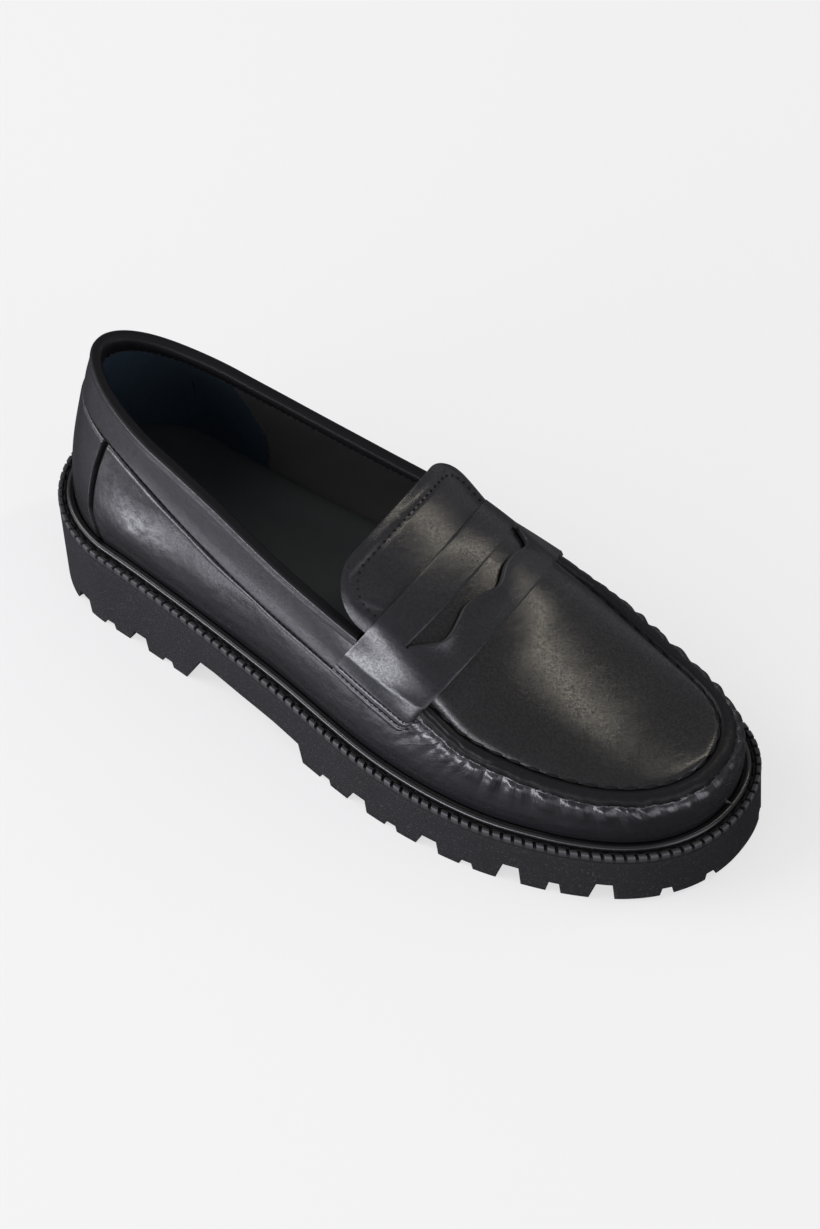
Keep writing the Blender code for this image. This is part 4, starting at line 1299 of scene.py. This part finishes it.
# Threads
apronThread = {
    "pitch": 0.0064, "long": 0.0058, "wide": 0.0017, "tall": 0.0012, "lift": 0.0001,
    "turns": (0.585, 1.415), "inset": 0.0004,
}
weltThread = {
    "pitch": 0.0056, "long": 0.0049, "wide": 0.0011, "tall": 0.0010, "lift": -0.0009, "inset": 0.00235,
}
collarThread = {
    "pitch": 0.0024, "long": 0.0019, "wide": 0.0008, "tall": 0.0007, "lift": 0.0000,
    "up": 0.004, "ends": 0.995,
}
liningThread = {"pitch": 0.0024, "long": 0.0017, "wide": 0.0005, "tall": 0.0005, "lift": 0.0000, "up": 0.020}
tongueThread = {"pitch": 0.0026, "long": 0.0013, "wide": 0.0010, "tall": 0.0006, "lift": -0.0001}
saddleThread = {
    "pitch": 0.0021, "long": 0.0018, "wide": 0.0006, "tall": 0.0005, "lift": 0.0000,
    "inset": (0.0012, 0.0032), "steps": 200,    # from the strap's rear and front edges
}


def makeThreads():
    upZ = np.array((0.0, 0.0, 1.0))
    bm = bmesh.new()
    t = np.linspace(*apronThread["turns"], 1600)
    line = np.stack(topEdge(t, apronThread["inset"]), axis=-1)
    addStitches(bm, line, wallNormal(t, 1.0) * 0.5 + upZ, apronThread)
    addPiece("apron_thread", bm, [threadBlack], "upper_leather")

    bm = bmesh.new()
    t = np.linspace(0, 2, 2400)
    addStitches(bm, ringPlace(t, weltThread["inset"], 0.0), np.tile(upZ, (len(t), 1)), weltThread)
    addPiece("welt_thread", bm, [threadBlack], "welt_rubber")

    bm = bmesh.new()
    turn, band = bandLine(np.linspace(-collarThread["ends"], collarThread["ends"], 1600))
    turn = turn % 2.0
    addStitches(bm, wallPoint(turn, band + collarThread["up"]), wallNormal(turn, band), collarThread)
    rise = np.full(turn.shape, rollLook["innerRise"] + liningThread["up"])
    inside = last["wall"] + rollLook["inner"]
    addStitches(bm, wallPoint(turn, rise, inside), -wallNormal(turn, rise, inside), liningThread)
    addPiece("collar_thread", bm, [threadBlack], "binding_leather")

    # tongue: up the outer side, round the rear corners and down the inner side
    bm = bmesh.new()
    inset = tongueLook["rowIn"]
    top = 1 - inset / tongueLook["long"]
    shares = top * np.sin(np.linspace(0.02, 0.5, 300) * np.pi)
    outer, inner = (tongueEdge(shares, side + 0 * shares, inset) for side in (-1.0, 1.0))
    path = [tongueSkin(s, a) for s, a in (
        (shares, outer), (top + 0 * shares, np.linspace(outer[-1], inner[-1], 300)),
        (shares[::-1], inner[::-1]))]
    line = np.concatenate(path)
    addStitches(bm, line, np.tile(upZ, (len(line), 1)), tongueThread)
    addPiece("tongue_thread", bm, [threadBlack], "tongue_leather")

    # strap ends: out along one row, round at the front and back along the other
    bm = bmesh.new()
    near, far = saddleLook["rowsIn"]
    rear = saddleLook["rear"] + saddleThread["inset"][0]
    front = saddleLook["front"] - saddleThread["inset"][1]
    steps, half = saddleThread["steps"], (far - near) / 2
    bend = np.linspace(-np.pi / 2, np.pi / 2, 40)
    reach = np.concatenate((
        np.linspace(rear, front, steps), front + half * np.cos(bend), np.linspace(front, rear, steps)))
    fromEnd = np.concatenate((
        np.full(steps, near), (near + far) / 2 + half * np.sin(bend), np.full(steps, far)))
    over = saddleAcross(reach, 1 - fromEnd / saddleLook["sideLong"])
    for side in (-1, 1):
        tilt = saddleTilt(fromEnd, saddleBend(reach))[:, None] * (side < 0)
        off = saddleLook["gap"] + saddleLook["thick"] - saddleLook["rowDip"] * 0.6 + tilt
        turn = turnOnPlane(reach, 2 - over)
        normal = wallNormal(turn if side < 0 else 2 - turn, 2 - over)
        addStitches(bm, instepPoint(reach, side * over) + normal * off, normal, saddleThread)
    addPiece("saddle_thread", bm, [threadBlack], "strap_leather")


makeThreads()
print("threads ready")


# Studio: pale glowing floor, soft lights, camera on the photograph's angle
studioLook = {
    "floor": (0.22, 0.22, 0.22), "floorGlow": 0.650, "floorReach": 6.0, "aim": (0.03, 0.0, 0.06),
    "sky": 0.40, "skyRise": (0.10, 0.45), "skyGain": 3.4, "skyTint": (0.98, 0.975, 1.07),
    "azimuth": 39.13, "elevation": 53.14, "roll": -3.59, "distance": 1.05989, "lens": 90.05,
    "target": (0.13121, 0.01566, 0.0200),
    "brightWay": (-0.34, -0.94, 0.0), "brightSpread": (0.20, 0.95), "farSide": 0.15,
}
cards = {   # way to the card, cosines of its edge and core, strength; both show only in the gloss
    "heel": ((-0.5047, -0.6577, -0.5592), 0.9825, 0.9980, 3.5),
    "toe": ((0.951, -0.237, 0.199), 0.860, 0.980, 2.4),
}
skyStops = (    # height of a direction, 0 down to 1 up, and its share of the gain
    (0.00, 0.03), (0.04, 0.06), (0.115, 0.135), (0.18, 0.185), (0.25, 0.20), (0.33, 0.22), (0.42, 0.21),
    (0.47, 0.35), (0.52, 1.00), (0.61, 1.00), (0.67, 0.12), (0.73, 0.00),
)
softboxes = {   # place, way its long side runs, size, power, colour
    "strip": ((0.66, 0.80, 1.255), (-0.243, -0.76, 0.60), (0.075, 1.40), 5.4, (1.0, 0.92, 0.77)),
    "side": ((-0.40, -1.45, 0.24), (0.97, -0.25, 0.0), (0.40, 1.30), 16.0, (0.92, 0.92, 1.0)),
    "fill": ((-1.22, -0.71, 1.41), (0.0, 1.0, 0.0), (1.10, 1.10), 22.0, (1.0, 1.0, 1.0)),
}


def makeFloor():
    bm = bmesh.new()
    bmesh.ops.create_circle(bm, cap_ends=True, radius=studioLook["floorReach"], segments=96)
    floor = objectFrom("floor", bm)
    material = bpy.data.materials.new("pale_floor")
    material.use_nodes = True
    plug(material.node_tree, material.node_tree.nodes["Principled BSDF"], {
        "Base Color": (*studioLook["floor"], 1.0), "Roughness": 0.9, "Specular IOR Level": 0.0,
        "Emission Color": (1.0, 1.0, 1.0, 1.0), "Emission Strength": studioLook["floorGlow"]})
    floor.data.materials.append(material)
    floor.visible_glossy = False    # the lower half of the sky stands for it in the gloss


def addSoftbox(name, place, along, size, power, colour):
    # faces the shoe, its second size along the given way
    data = bpy.data.lights.new(name, "AREA")
    data.shape, data.size, data.size_y = "RECTANGLE", size[0], size[1]
    data.energy, data.color = power, colour
    light = bpy.data.objects.new(name, data)
    z = (Vector(place) - Vector(studioLook["aim"])).normalized()
    y = Vector(along)
    y = (y - z * y.dot(z)).normalized()
    light.matrix_world = Matrix.Translation(Vector(place)) @ axes(y.cross(z), y, z)
    bpy.context.scene.collection.objects.link(light)


def makeSky():
    # bright band at the horizon, dim overhead and dark straight below, by the shoe
    world = bpy.data.worlds.new("studio")
    world.use_nodes = True
    tree = world.node_tree
    start = Socket(tree)
    way = start.node("ShaderNodeTexCoord", {}, {}, "Generated")
    height = start.node("ShaderNodeSeparateXYZ", {}, {"Vector": way}, "Z")

    def towards(other):
        return start.node("ShaderNodeVectorMath", {"operation": "DOT_PRODUCT"}, {0: way, 1: other}, "Value")

    def ramp(value, spread, low, high):
        return start.node("ShaderNodeMapRange", {"interpolation_type": "SMOOTHSTEP"}, {
            "Value": value, "From Min": spread[0], "From Max": spread[1], "To Min": low, "To Max": high})

    shares = stepped(start, height * 0.5 + 0.5, skyStops)
    sided = ramp(towards(studioLook["brightWay"]), studioLook["brightSpread"], studioLook["farSide"], 1.0)
    above = ramp(height, studioLook["skyRise"], 0.0, studioLook["sky"])
    strength = shares * sided * studioLook["skyGain"] + above
    for cardWay, edge, core, power in cards.values():
        strength = strength + ramp(towards(cardWay), (edge, core), 0.0, power)
    plug(tree, tree.nodes["Background"], {"Color": (*studioLook["skyTint"], 1.0), "Strength": strength})
    bpy.context.scene.world = world


def makeCamera():
    data = bpy.data.cameras.new("camera")
    data.lens, data.sensor_width = studioLook["lens"], 36.0
    data.clip_start, data.clip_end = 0.01, 50.0
    camera = bpy.data.objects.new("camera", data)
    az, el, roll = (math.radians(studioLook[k]) for k in ("azimuth", "elevation", "roll"))
    back = Vector((math.sin(az) * math.cos(el), -math.cos(az) * math.cos(el), math.sin(el)))
    right = (-back).cross(Vector((0, 0, 1))).normalized()
    up = right.cross(-back)
    sideways = right * math.cos(roll) + up * math.sin(roll)
    upwards = up * math.cos(roll) - right * math.sin(roll)
    spot = Vector(studioLook["target"]) + toFrame + back * studioLook["distance"]
    camera.matrix_world = Matrix.Translation(spot) @ axes(sideways, upwards, back)
    bpy.context.scene.collection.objects.link(camera)
    bpy.context.scene.camera = camera


makeFloor()
makeSky()
for name, settings in softboxes.items():
    addSoftbox(name, *settings)
bpy.context.scene.view_settings.view_transform = "Standard"
makeCamera()
print("studio ready")
